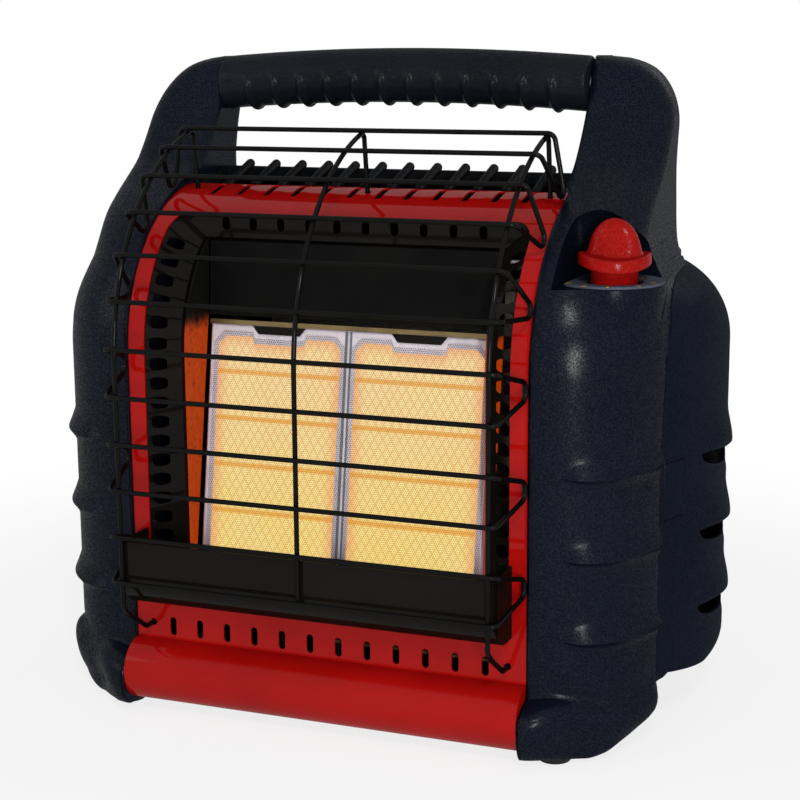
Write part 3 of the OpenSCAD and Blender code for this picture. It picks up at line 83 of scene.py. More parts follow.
class Finish:
    # one procedural material, or the world
    def __init__(self, name, world=False):
        self.material = (bpy.data.worlds if world else bpy.data.materials).new(name)
        self.material.use_nodes = True
        self.tree = self.material.node_tree
        self.tree.nodes.clear()
        self.output = self.tree.nodes.new("ShaderNodeOutputWorld" if world else "ShaderNodeOutputMaterial")
        self.place = self.add("ShaderNodeTexCoord", out=3)

    def add(self, kind, settings=None, inputs=None, out=0):
        node = self.tree.nodes.new(kind)
        for key, value in (settings or {}).items():
            if key == "stops":
                stops = node.color_ramp.elements
                while len(stops) < len(value):
                    stops.new(1)
                for stop, (position, colour) in zip(stops, value):
                    stop.position, stop.color = position, (*colour, 1)
            else:
                setattr(node, key, value)
        for key, value in (inputs or {}).items():
            if isinstance(value, Sock):
                self.tree.links.new(value.socket, node.inputs[key])
            else:
                node.inputs[key].default_value = value
        return Sock(self, node.outputs[out])

    def noise(self, size, detail=2, rough=0.5, place=None):
        # size is the width of one blotch in millimetres
        return self.add("ShaderNodeTexNoise", None, {"Vector": place or self.place, "Scale": 1 / (size * mm),
                                                     "Detail": detail, "Roughness": rough})

    def stretched(self, scale):
        return self.add("ShaderNodeVectorMath", {"operation": "MULTIPLY"}, {0: self.place, 1: scale})

    def axis(self, index, place=None):
        return self.add("ShaderNodeSeparateXYZ", None, {0: place or self.place}, index)

    def blend(self, share, low, high):
        # a mix of two colours
        low, high = [value if isinstance(value, Sock) else (*value, 1) for value in (low, high)]
        return self.add("ShaderNodeMix", {"data_type": "RGBA"}, {0: share, 6: low, 7: high}, 2)

    def bump(self, height, depth, softness=None):
        # depth is in millimetres; softness rounds the edges by that radius
        inputs = {"Strength": 1.0, "Distance": depth * mm, "Height": height}
        if softness:
            inputs["Normal"] = self.add("ShaderNodeBevel", {"samples": 3}, {"Radius": softness * mm})
        return self.add("ShaderNodeBump", None, inputs)

    def surface(self, **inputs):
        # a principled shader; the names take their spaces back
        named = {key.replace("_", " "): value for key, value in inputs.items()}
        for key, value in named.items():
            if isinstance(value, tuple) and len(value) == 3:
                named[key] = (*value, 1)
        self.shader = self.add("ShaderNodeBsdfPrincipled", None, named)
        self.tree.links.new(self.shader.socket, self.output.inputs[0])
        return self

    def whitened(self, shader, kind, share):
        # shows as white to the camera, in reflections and through glass
        names = ("Is Camera Ray", "Is Glossy Ray", "Is Transmission Ray")
        direct, glossy, through = [self.add("ShaderNodeLightPath", out=name) for name in names]
        seen = direct.maths("MAXIMUM", glossy).maths("MAXIMUM", through)
        white = self.add(kind, None, {"Color": (1, 1, 1, 1), "Strength": 1})
        mixed = self.add("ShaderNodeMixShader", None, {0: seen * share, 1: shader, 2: white})
        self.tree.links.new(mixed.socket, self.output.inputs[0])


def shade(*screen):
    # a screen colour, 0 to 255, as light
    return tuple(c / 255 / 12.92 if c <= 10 else ((c / 255 + 0.055) / 1.055) ** 2.4 for c in screen)


def pebbled(name, low, high, gloss, grain=0.62, depth=0.11, edge=1.2, sheen=0.1):
    # moulded plastic with a fine spark-eroded texture
    f = Finish(name)
    pebble = f.noise(grain, 3, 0.6)
    swell = f.noise(34, 2)
    cloud = f.noise(90, 3)
    scuff = f.noise(6, 5, 0.7).above(0.63, 0.05)
    colour = f.blend(cloud.above(0.5, 0.25), low, high)
    # painted highlight: the pebbles' tops are lighter in colour, a sparkle of light put into the colour
    colour = f.blend(pebble.above(0.56, 0.1) * 0.35, colour, tuple(c * 1.9 for c in high))
    height = pebble + swell * 0.3
    # the sheen sits on the tops of the pebbles
    tops = (pebble.above(0.52, 0.09) * 1.3 + 0.4 - scuff * 0.2) * sheen
    rough = pebble * 0.12 + scuff * 0.06 + gloss + 0.2
    return f.surface(Base_Color=colour, Roughness=rough, Coat_Weight=tops, Coat_Roughness=gloss,
                     Specular_IOR_Level=0.0, Normal=f.bump(height, depth, edge))


def enamelled(name, low, high, gloss, peel=2.4, depth=0.035, coat=0.15, edge=0.5, sheen=0.0):
    # fired enamel on sheet metal: glossy, with a faint orange peel and flecks of dust
    f = Finish(name)
    peelHeight = f.noise(peel, 2)
    cloud = f.noise(60, 3)
    dust = f.noise(1.6, 4, 0.7).above(0.68, 0.04)
    smoke = f.noise(18, 4, 0.6)
    colour = f.blend(cloud.above(0.5, 0.3), low, high)
    colour = f.blend(dust * 0.12, colour, tuple(min(1, c * 2 + 0.03) for c in high))
    return f.surface(Base_Color=colour, Roughness=smoke * 0.1 + dust * 0.12 + gloss,
                     Coat_Weight=dust * (-0.5 * coat) + coat, Coat_Roughness=0.06, Specular_IOR_Level=sheen,
                     Normal=f.bump(peelHeight, depth, edge))


def metalled(name, low, high, gloss, grain=(1, 1, 1), size=5, depth=0.02, metal=1.0, edge=0.35):
    # bare or plated metal; grain stretches the blotches along an axis
    f = Finish(name)
    place = f.stretched(grain)
    blotch = f.noise(size, 4, 0.6, place)
    scratch = f.noise(size / 6, 3, 0.6, place)
    stain = f.noise(24, 3).above(0.6, 0.12)
    colour = f.blend(blotch, low, high)
    colour = f.blend(stain * 0.3, colour, tuple(c * 0.5 for c in low))
    return f.surface(Base_Color=colour, Metallic=metal, Roughness=scratch * 0.2 + stain * 0.12 + gloss,
                     Normal=f.bump(scratch, depth, edge))


def mineral(name, low, high, size=1.2, depth=0.12, gloss=0.75):
    # fibre, ceramic or rubber: matt, with an open grain
    f = Finish(name)
    grain = f.noise(size, 4, 0.65)
    fibre = f.noise(size * 3, 3, 0.6, f.stretched((1, 1, 4)))
    cloud = f.noise(20, 3)
    colour = f.blend(grain * 0.5 + cloud * 0.5, low, high)
    return f.surface(Base_Color=colour, Roughness=fibre * 0.15 + gloss, Specular_IOR_Level=0.3,
                     Normal=f.bump(grain + fibre * 0.5, depth, 0.6))


finishes = {
    "navy_plastic": pebbled("mouldedNavy", shade(9, 13, 23), shade(12, 17, 28), 0.24, 0.9, 0.06, sheen=0.16),
    "grip_plastic": pebbled("gripNavy", shade(14, 17, 23), shade(21, 24, 31), 0.26, 0.7, 0.05, sheen=0.14),
    "black_plastic": pebbled("blackPlastic", shade(13, 14, 16), shade(22, 23, 25), 0.34, 0.7, 0.08, 0.5),
    "red_plastic": pebbled("redPlastic", shade(136, 11, 8), shade(150, 15, 10), 0.2, 0.9, 0.02, 1.0, 0.2),
    "red_enamel": enamelled("redEnamel", shade(150, 10, 8), shade(168, 15, 11), 0.3, coat=0.24),
    "black_enamel": enamelled("blackEnamel", shade(13, 11, 9), shade(21, 18, 14), 0.4, 3.0, 0.05, 0.16),
    "guard_wire": enamelled("guardBlack", shade(7, 7, 7), shade(13, 13, 12), 0.4, 0.9, 0.05, 0.16, 0.2),
    "foot_rubber": mineral("footRubber", shade(14, 14, 15), shade(26, 26, 27), 0.7, 0.08),
    "zinc_steel": metalled("zincSteel", (0.42, 0.42, 0.4), (0.62, 0.62, 0.6), 0.28, size=7),
    "reflector_steel": metalled("reflectorSteel", (0.5, 0.47, 0.42), (0.68, 0.64, 0.58), 0.2,
                                (1, 1, 0.15), 4),
    "ceramic": mineral("plaqueCeramic", shade(214, 208, 200), shade(232, 226, 220), 0.8, 0.1),
    "white_ceramic": mineral("glazedCeramic", shade(222, 220, 212), shade(238, 236, 230), 2.0, 0.03, 0.25),
    "gasket_fibre": mineral("gasketFibre", shade(196, 193, 206), shade(222, 220, 230), 1.0, 0.25, 0.8),
    "brass": metalled("brass", (0.62, 0.44, 0.16), (0.78, 0.6, 0.28), 0.26, size=4),
    "copper_tone": metalled("copperTone", (0.55, 0.27, 0.13), (0.72, 0.4, 0.24), 0.28, size=4),
    "aluminium_tube": metalled("aluminiumTube", (0.62, 0.62, 0.63), (0.78, 0.78, 0.79), 0.3, (1, 1, 0.3), 3),
    "cast_zinc": metalled("castZinc", (0.28, 0.28, 0.29), (0.42, 0.42, 0.43), 0.42, size=2.2, depth=0.08),
}


burner = {  # the two ceramic tiles, in millimetres
    "y": -85, "z": 105, "lean": 8.8, "width": 92, "height": 141, "thick": 13, "recess": 0.6, "sideBorder": 4,
    "endBorder": 6.5, "cornerCut": 11, "notchHalf": 17, "notchBorder": 11, "diamond": 5.5, "diamondRise": 9,
    "diamondDepth": 0.45, "step": 1.15, "pore": 1.45, "cornerSlope": 0.7, "wirePitch": 29, "wireShift": 0.43,
}


def glowingTile(name):
    # a glowing tile: a field of pores and diamonds inside a pale border; its emission is the tile's own glow
    # together with painted light
    f = Finish(name)
    b = burner
    x = abs(f.axis(0)) / mm - 1
    z = (f.axis(2) / mm - b["z"]) / math.cos(math.radians(b["lean"]))
    dx, dz = x.maths("MINIMUM", b["width"] - x), b["height"] - z
    corner = (dx + dz) * b["cornerSlope"] - b["cornerCut"]
    field = (dx - b["sideBorder"]).maths("MINIMUM", dz - b["endBorder"]).maths("MINIMUM", corner)
    centre = (abs(x - b["width"] / 2) - b["notchHalf"]).maths("MAXIMUM", 0)
    notch = (b["height"] - b["notchBorder"] - z) + centre * 3
    field = field.maths("MINIMUM", notch)
    wobble = f.noise(5, 2) * 0.8 - 0.4
    inside = (field + wobble).above(0, 0.4)
    # pores in staggered rows
    rowPitch = b["pore"] * 0.87
    row = z / rowPitch
    shift = (row.maths("FLOOR") * 0.5).maths("FRACT")
    across = ((x / b["pore"] + shift).maths("FRACT") - 0.5) * b["pore"]
    along = (row.maths("FRACT") - 0.5) * rowPitch
    away = (across * across + along * along).maths("SQRT")
    pore = (0.52 - away).above(0, 0.14) * (field + 3.4).above(0, 0.3)
    up, down = x / b["diamond"] + z / b["diamondRise"], x / b["diamond"] - z / b["diamondRise"]
    mesh = (abs(up.maths("FRACT") - 0.5) * 2).maths("MAXIMUM", abs(down.maths("FRACT") - 0.5) * 2)
    line = mesh.above(0.8, 0.14)
    heat, fine = f.noise(26, 3, 0.6), f.noise(1.2, 3)
    # painted shadow: a deeper orange band under each of the guard's wires
    wire = (f.axis(2) / (b["wirePitch"] * mm) - b["wireShift"]).maths("FRACT")
    wireShadow = (abs(wire - 0.5) * 2).above(0.9, 0.05)
    rim = (4 - field).above(0, 5)
    # painted light: the field's pale yellow is the tile's glow with the lamplight on it, put into the
    # emission colour
    colour = f.blend((z / b["height"]).above(0.5, 0.5), shade(255, 240, 140), shade(255, 238, 178))
    colour = f.blend(heat.above(0.55, 0.2) * 0.5, colour, shade(255, 246, 170))
    colour = f.blend(line * 0.42, colour, shade(228, 150, 116))
    colour = f.blend(rim * 0.6, colour, shade(240, 160, 118))
    # painted shadow of the guard's wires
    colour = f.blend(wireShadow * 0.72, colour, shade(232, 160, 40))
    colour = f.blend(pore * 0.62, colour, shade(176, 92, 34))
    glowAndPaintedLight = f.blend(inside, (0.0, 0.0, 0.0), colour)
    border = f.blend(fine, shade(205, 196, 204), shade(232, 224, 228))
    border = f.blend(pore * 0.7, border, shade(84, 70, 74))
    border = f.blend((1.4 - x).above(0, 0.3), border, shade(112, 110, 112))
    return f.surface(Base_Color=f.blend(inside, border, shade(40, 26, 14)), Roughness=0.85,
                     Specular_IOR_Level=0.2, Emission_Color=glowAndPaintedLight, Emission_Strength=1.0,
                     Normal=f.bump(fine * 0.4 - pore - line * 0.5, 0.22))


def glowReflectingPlate(name, reflectionTopZ):
    # sheet metal with a painted reflection of the tiles' glow up to a height, dark above
    f = Finish(name)
    z = f.axis(2)
    mottle, fine, streak = f.noise(11, 4, 0.7), f.noise(1.6, 3), f.noise(4, 3, 0.6, f.stretched((1, 1, 0.25)))
    # painted reflection of the tiles' glow, below the given height, with a mottled edge
    reflectionMask = (reflectionTopZ * mm - z + (mottle - 0.5) * 0.02).above(0, 0.006)
    spots = f.noise(3.4, 4, 0.7).above(0.6, 0.07)
    colour = f.blend(streak, shade(186, 50, 4), shade(222, 84, 10))
    colour = f.blend(spots * 0.7, colour, shade(84, 22, 8))
    darkUpper = f.blend(mottle, shade(10, 11, 9), shade(22, 22, 17))
    return f.surface(Base_Color=darkUpper, Roughness=fine * 0.2 + 0.5, Specular_IOR_Level=0.06,
                     Emission_Color=f.blend(reflectionMask, (0.0, 0.0, 0.0), colour), Emission_Strength=0.62,
                     Normal=f.bump(mottle + fine * 0.3, 0.3, 0.4))


tileGlowAndPaintedLight = glowingTile("tileGlowAndPaintedLight")
paintedGlowReflection = glowReflectingPlate("paintedGlowReflection", 246)
# a darker, duller black enamel for the top reflector
dullBlack = enamelled("dullBlackEnamel", shade(9, 9, 9), shade(20, 19, 18), 0.45, 3.0, 0.08, 0.0, 0.4, 0.03)
dialTop = pebbled("dialTop", shade(66, 70, 80), shade(84, 89, 100), 0.45, 0.8, 0.1, 0.4)
tickPaint = pebbled("tickPaint", shade(150, 112, 40), shade(176, 134, 52), 0.5, 0.5, 0.05, 0.2)
# the navy plastic again for the doors, a little lighter and with less coat: its lighter colour is painted
# light, set to how the doors are lit
doorNavy = pebbled("doorNavy", shade(12, 17, 29), shade(16, 21, 33), 0.28, 0.9, 0.05, sheen=0.05)
# the burner trim's brass, darkened to a deep brown
darkenedBrass = metalled("darkenedBrass", (0.09, 0.06, 0.03), (0.3, 0.22, 0.1), 0.3, (0.2, 1, 1), 3)

# every node of the frame takes the finish of its slot
slotOf = {part["node"]: part["material_slot"] for part in record["subparts"]}
for node, piece in nodes.items():
    piece.data.materials.clear()
    piece.data.materials.append(finishes[slotOf[node]].material)
print("finishes made:", len(finishes))


def placed(name, data):
    # an object in the scene
    made = bpy.data.objects.new(name, data)
    bpy.context.scene.collection.objects.link(made)
    return made


def addPiece(name, points, faces, finish, body=None, slot=None, replaced=(), crease=35):
    # points are in millimetres
    mesh = bpy.data.meshes.new(name)
    mesh.from_pydata([Vector(p) * mm for p in points], [], faces)
    work = bmesh.new()
    work.from_mesh(mesh)
    bmesh.ops.remove_doubles(work, verts=work.verts, dist=0.004 * mm)
    bmesh.ops.dissolve_degenerate(work, edges=work.edges, dist=0.002 * mm)
    bmesh.ops.recalc_face_normals(work, faces=work.faces)
    work.to_mesh(mesh)
    work.free()
    piece = placed(name, mesh)
    smooth(piece, crease)
    mesh.materials.append(finish.material)
    if body:
        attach(piece, body)
        for node in replaced:
            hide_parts(node)
    return piece


def smooth(piece, crease):
    piece.data.polygons.foreach_set("use_smooth", [True] * len(piece.data.polygons))
    piece.data.set_sharp_from_angle(angle=math.radians(crease))


def combine(piece, part, finish, crease, operation="DIFFERENCE"):
    # cuts the part out of the piece, or joins it on, for good
    tool = addPiece("tool", *part, finish)
    step = piece.modifiers.new("combine", "BOOLEAN")
    step.object, step.operation, step.solver = tool, operation, "EXACT"
    graph = bpy.context.evaluated_depsgraph_get()
    made = bpy.data.meshes.new_from_object(piece.evaluated_get(graph))
    piece.modifiers.clear()
    old, piece.data = piece.data, made
    bpy.data.meshes.remove(old)
    bpy.data.objects.remove(tool)
    smooth(piece, crease)


def lofted(rings, ends=True):
    # closed rings of equal length, joined one to the next
    count = len(rings[0])
    points = [p for ring in rings for p in ring]
    faces = []
    for i in range(len(rings) - 1):
        for j in range(count):
            k = (j + 1) % count
            faces.append((i * count + j, i * count + k, (i + 1) * count + k, (i + 1) * count + j))
    if ends:
        faces.append(tuple(range(count)))
        faces.append(tuple(range((len(rings) - 1) * count, len(rings) * count)))
    return points, faces


def gather(*parts):
    # several (points, faces) as one
    points, faces = [], []
    for somePoints, someFaces in parts:
        start = len(points)
        points += list(somePoints)
        faces += [tuple(i + start for i in face) for face in someFaces]
    return points, faces


def insideOut(part):
    points, faces = part
    return points, [tuple(reversed(face)) for face in faces]


def onSide(side, part):
    # parts are made for the right-hand side; the left-hand one is the mirror image
    points, faces = part
    return (points, faces) if side == "right" else ([(-x, y, z) for x, y, z in points], faces)


def curveAt(knots, t):
    # a smooth curve through (t, value) knots
    if t <= knots[0][0]:
        return knots[0][1]
    if t >= knots[-1][0]:
        return knots[-1][1]
    i = max(k for k in range(len(knots) - 1) if knots[k][0] <= t)

    def slope(k):
        if k == 0 or k == len(knots) - 1:
            a, b = (0, 1) if k == 0 else (len(knots) - 2, len(knots) - 1)
            return (knots[b][1] - knots[a][1]) / (knots[b][0] - knots[a][0])
        left = (knots[k][1] - knots[k - 1][1]) / (knots[k][0] - knots[k - 1][0])
        right = (knots[k + 1][1] - knots[k][1]) / (knots[k + 1][0] - knots[k][0])
        return 0 if left * right <= 0 else 2 * left * right / (left + right)

    (t0, a), (t1, b) = knots[i], knots[i + 1]
    h = t1 - t0
    s = (t - t0) / h
    return (a * (1 + 2 * s) * (1 - s) ** 2 + slope(i) * h * s * (1 - s) ** 2
            + b * s * s * (3 - 2 * s) + slope(i + 1) * h * s * s * (s - 1))


def ease(s):
    s = min(1, max(0, s))
    return s * s * (3 - 2 * s)


def span(a, b, count, last=True):
    return [a + (b - a) * i / (count - 1 if last else count) for i in range(count)]


def heading(angle):
    # cosine and sine of an angle in degrees
    turn = math.radians(angle)
    return math.cos(turn), math.sin(turn)


def polar(centre, radius, angle):
    c, s = heading(angle)
    return centre[0] + radius * c, centre[1] + radius * s


def slab(low, high, r):
    # a box with rounded upright edges and softened rims
    (x0, y0, z0), (x1, y1, z1) = low, high
    r = min(r, (x1 - x0) * 0.45, (y1 - y0) * 0.45, (z1 - z0) * 0.45)
    quarter = (0, 30, 60, 90)

    def ring(inset, z):
        ring = []
        for cx, cy, start in ((x1, y1, 0), (x0, y1, 90), (x0, y0, 180), (x1, y0, 270)):
            mx, my = math.copysign(r, (x0 + x1) / 2 - cx), math.copysign(r, (y0 + y1) / 2 - cy)
            ring += [(*polar((cx + mx, cy + my), r - inset, start + a), z) for a in quarter]
        return ring

    rims = [(r * (1 - s), r * (1 - c)) for c, s in map(heading, quarter)]
    rings = [ring(inset, z0 + rise) for inset, rise in rims]
    return lofted(rings + [ring(inset, z1 - rise) for inset, rise in reversed(rims)])


def turnedOn(profile, centre, steps=96, start=0, end=360):
    # a profile of (radius, z) revolved about an upright axis
    whole = end - start == 360
    rings = []
    for a in span(start, end, steps, not whole):
        rings.append([(*polar(centre, r, a), z) for r, z in profile])
    if not whole:
        return lofted(rings)
    points, faces = lofted(rings, False)
    count, total = len(profile), len(points)
    for j in range(count):
        k = (j + 1) % count
        faces.append((total - count + j, total - count + k, k, j))
    return points, faces


column = {  # millimetres, right-hand side
    "innerX": 130.3, "armInnerX": 126, "frontY": -110, "backY": -17, "rearWallY": -19,
    "archY": -8, "archZ": 230, "archRadius": 102, "roofZ": 285.2, "wall": 3, "hollowZ": 274,
    "armFrontZ": 316, "stepZ": 332, "rimZ": 402, "rim": 8, "topZ": 410,
    "armFront": [(316, -62.8), (323, -50), (333, -31), (343.5, -14.5), (358, -1), (377, 12.5), (392, 20.5),
                 (404, 26), (410, 31)],
    "armBack": [(285, 50), (303, 46.5), (318, 45), (342, 43), (360, 46), (376, 51), (392, 58), (402, 62.5),
                (406, 61), (410, 57)],
    "flank": [(232, 199), (247, 197.8), (255, 196.3), (262, 194.3), (268, 191.8), (274, 188.8), (280, 185.6),
              (287, 182.4), (301, 180.3), (315, 180), (366, 180)],
    "cornerRadius": [(236, 69), (262, 63), (290, 48), (316, 33), (335, 21), (352, 17), (410, 15)],
    "armCorner": (136, 366, 44),
}
gill = {  # swellings of the column; angles about the column's axis, heights from each tip
    "tipAngle": -74, "seamAngle": -14, "tips": (77.1, 125.8, 174.5), "proud": 5.2, "start": 0.08,
    "ridge": [(0, 0), (0.16, -0.8), (0.33, -1), (0.6, 0.3), (1, 3.4)],
    "low": [(0, -0.3), (0.16, -5.2), (0.33, -9), (0.5, -10.1), (0.7, -8.2), (1, -4.6)],
    "high": [(0, 0.5), (0.12, 8), (0.25, 11), (0.4, 11.5), (0.6, 13), (1, 13)],
}
foot = {  # the panel's foot: a swelling under a crease, then a turn in to the lower edge
    "top": 60, "innerEdge": 12, "turnIn": 4.5, "turnHeight": 6, "seamEdge": (40, 38),
    "deck": 14, "deckX": 162, "deckInset": 9, "wrapFrom": -96, "wrapTo": 40,
    "edge": [(-95, 6), (-82, 5.4), (-70, 3.6), (-60, 3), (-50, 5.4), (-40, 11.5), (-30, 17.5), (-21, 26),
             (-15.5, 36)],
    "crease": [(-95, 39), (-77, 42.5), (-65, 40), (-53, 37), (-39, 39.5), (-22, 43.7), (0, 44)],
    "swell": [(-40, 0.5), (-24, 1.4), (-19, 4.0), (-13, 5.6), (-8, 6.2), (-4.5, 4.9), (-2, 2.6), (0, 0.2),
              (3, -0.7), (10, 0)],
    "toe": [(-40, 11), (-30, 16), (-20, 19), (-12, 19), (-6, 15.5), (-3, 10), (-1, 4), (0, 1), (3, 0)],
    "toeAngle": -62, "toeSweep": 28, "heelAngle": -23, "heelSweep": 9, "heelFade": 0.9,
}
doorEdge = {  # beyond fairY and fairZ the column is faired out to the door
    "frontY": -60.2, "lowZ": 47, "rearLowZ": 28, "levelY": 50, "topZ": 281.4, "gap": 0.8, "shut": 5.4,
    "fairY": -60, "fairZ": 240, "rearY": 170, "toolX": (120, 240),
    "corner": [(141, -60.2), (179, -59.6), (214, -58), (232, -56.2), (248.7, -51.5), (260.6, -42.1),
               (267.5, -33.2), (273.8, -18.9), (277, -6), (279, 6.3), (280.7, 36.6), (281.4, 60)],
}
pod = {"x": 33, "y": 20, "radius": 182, "domeZ": 235, "domeRadius": 49.6, "bottomRadius": 18, "lowZ": 28,
       "endAngle": 43.4, "wall": 2.6}
bay = {
    "innerX": 104, "frontY": -20, "rearY": 144.5, "rearX": 148, "baseZ": 12, "floorZ": 21, "floorRadius": 152,
    "skirtRadius": 110, "skirtFrom": -21.3, "skirtTo": 48, "roofRadius": 150, "drain": (158, 50, 15),
    "frontX": 132, "cornerPlate": (131, 105, 164),
}
hinge = {  # bosses on the bay and knuckles on the door, about one pin
    "x": 157.97, "y": 138.18, "bore": 2.05, "radius": 4.5, "bosses": (62, 84.4, 192, 214.4),
    "bossHeight": 7.6, "knuckles": (70, 200), "knuckleHeight": 14,
    "web": ((3, -3.5), (9.2, -3.5), (9.2, -0.5), (3, -0.5)),
}


def podX(y, z, inset=0.0):
    # how far out the door's face reaches
    rise = min(pod["domeRadius"], max(0, z - pod["domeZ"]))
    radius = pod["radius"] - pod["domeRadius"] + math.sqrt(pod["domeRadius"] ** 2 - rise ** 2) - inset
    return pod["x"] + math.sqrt(max(0, radius ** 2 - (y - pod["y"]) ** 2))


def seamY(z):
    # where the door's edge lies at a height; far back where there is no door
    if z > doorEdge["topZ"]:
        return 400
    return curveAt(doorEdge["corner"], z) - doorEdge["gap"]


def frontY(z):
    if z <= column["archZ"]:
        return column["frontY"]
    if z <= column["armFrontZ"]:
        return column["archY"] - math.sqrt(column["archRadius"] ** 2 - (z - column["archZ"]) ** 2)
    return curveAt(column["armFront"], z)


def outerX(z):
    cx, cz, r = column["armCorner"]
    if z > cz:
        return cx + math.sqrt(max(0, r * r - (z - cz) ** 2))
    return curveAt(column["flank"], z)


def gillShare(angle):
    return (angle - gill["tipAngle"]) / (gill["seamAngle"] - gill["tipAngle"])


def gillSwell(angle, z):
    s = gillShare(angle)
    if s <= 0:
        return 0
    ridge, low, high = [curveAt(gill[key], s) for key in ("ridge", "low", "high")]
    height = gill["proud"] * (1 - math.exp(-6 * s)) * (1 - 0.3 * ease((s - 0.5) * 2))
    for tip in gill["tips"]:
        dz = z - tip
        if low < dz <= ridge:
            return height * ((dz - low) / (ridge - low)) ** 1.7
        if ridge < dz < high:
            return height * (1 - (dz - ridge) / (high - ridge)) ** 1.15
    return 0


def lowEdge(angle, y, behind):
    # height of the panel's lower edge
    if behind:
        front, back = foot["seamEdge"]
        return front + (back - front) * (y - doorEdge["frontY"]) / (column["backY"] - doorEdge["frontY"])
    if abs(angle) > 96:
        return foot["edge"][0][1] + (foot["innerEdge"] - foot["edge"][0][1]) * ease((y + 95) / 45)
    return curveAt(foot["edge"], angle)


def lineHeight(line, angle, y, behind):
    # the mesh follows the creases: a line is a share of the way between two of them
    kind, k, share = line
    s = 1 if angle > 90 else min(1, max(gill["start"], gillShare(angle)))
    low, ridge, high = [gill["tips"][k] + curveAt(gill[key], s) for key in ("low", "ridge", "high")]
    edge = lowEdge(angle, y, behind)
    crease = max(edge + 3, curveAt(foot["crease"], angle) if angle < 90 else 40)
    start, end = {
        "foot": (edge, crease), "shin": (crease, foot["top"]), "under": (low, ridge), "over": (ridge, high),
        "plain": (foot["top"] if k == 0 else gill["tips"][k - 1] + curveAt(gill["high"], s), low),
    }[kind]
    return start + (end - start) * share


def footSwell(angle, height):
    # how far the foot stands out from the column
    if height >= foot["top"]:
        return 0
    above = height - curveAt(foot["crease"], angle)
    toe = ease((foot["toeAngle"] - angle) / foot["toeSweep"])
    fade = 1 - foot["heelFade"] * ease((angle - foot["heelAngle"]) / foot["heelSweep"])
    return curveAt(foot["swell"], above) * (1 - toe) * fade + curveAt(foot["toe"], above) * toe


def panelOutline(z, inset, arm):
    # the section at a height: its points, low and high corner, and the centre of its rounded outer corner
    x0, armX0 = column["innerX"] + inset, column["armInnerX"] + inset
    x1, y0 = outerX(z) - inset, frontY(z) + inset
    y1 = (curveAt(column["armBack"], z) if arm else column["backY"]) - inset
    if z > column["rimZ"]:  # the arm's upper edge is rounded
        rim = column["rim"]
        soft = rim - math.sqrt(max(0, rim ** 2 - (z - column["rimZ"]) ** 2))
        x1, y0, y1 = x1 - soft * 0.3, y0 + soft * 0.8, y1 - soft * 0.8
    stepped = z > column["stepZ"]  # from here up the arm reaches further in than the column
    r1 = min(curveAt(column["cornerRadius"], z) - inset, x1 - x0 - 0.5)
    r2, r3 = (12, 7) if arm else (1, 1)
    r4 = 5 if stepped else 1.5
    ring = [polar((x0 + r4, y0 + r4), r4, a) for a in (180, 210, 240, 270)]
    ring += [(t, y0) for t in span(x0 + r4, x1 - r1, 8)[1:-1]]
    cx, cy = x1 - r1, y0 + r1
    # the corner's arc and the flat behind it, in two runs that meet at the door's seam
    seam = seamY(z)
    arc = r1 * math.pi / 2
    whole = arc + y1 - r2 - cy
    meet = arc + seam - cy if seam >= cy else r1 * (math.asin(max(-1, (seam - cy) / r1)) + math.pi / 2)
    meet = min(meet, whole - 1)
    for d in span(0, meet - 0.06, 64) + span(meet + 0.06, whole, 27):
        a = min(0, d / r1 - math.pi / 2)
        ring.append((cx + r1 * math.cos(a), cy + r1 * math.sin(a) + max(0, d - arc)))
    ring += [polar((x1 - r2, y1 - r2), r2, a) for a in (22.5, 45, 67.5, 90)]
    inner = armX0 if (arm or stepped) else x0
    ring += [(t, y1) for t in span(x1 - r2, inner + r3, 8)[1:-1]]
    ring += [polar((inner + r3, y1 - r3), r3, a) for a in (90, 112.5, 135, 157.5, 180)]
    wallY = column["rearWallY"]
    ring += [(inner if t > wallY or stepped else x0, t) for t in span(y1 - r3, y0 + r4, 16)[1:-1]]
    if stepped:
        ring = [(x - (x0 - armX0) * (1 - ease((x - x0) / 20)), y) for x, y in ring[:12]] + ring[12:]
    return ring, (x0, y0), x1, (cx, cy)


def panelRing(z, inset=0.0, arm=False, line=None, solid=True):
    # one level of the column or the arm; a line gives each point a height of its own
    ring, (x0, y0), x1, (cx, cy) = panelOutline(z, inset, arm)
    seam = seamY(z)
    made = []
    for x, y in ring:
        angle = math.degrees(math.atan2(y - cy, x - cx))
        outside, behind = x > x1 - 2.5, y > seam
        height = lineHeight(line, angle, y, behind and angle < 45) if line else z
        if line and foot["wrapFrom"] < angle < foot["wrapTo"] and (x > x0 + 1 or y < y0 + 3):
            shift = footSwell(angle, height)
            rise = (height - lowEdge(angle, y, behind)) / foot["turnHeight"]
            if rise < 1:
                shift -= foot["turnIn"] * (1 - math.sqrt(max(0, 1 - (1 - rise) ** 2)))
            if not behind:
                shift += gillSwell(angle, height)
            x, y = polar((x, y), shift, angle)
        if z < column["roofZ"] and not arm:
            if behind:  # room for the door
                x = min(x, podX(y, max(z, height), doorEdge["shut"] + inset))
            elif outside and y > doorEdge["fairY"] and z > doorEdge["fairZ"] and solid:
                x = max(x, podX(y, z, 0.4))
        made.append((x, y, height))
    return made


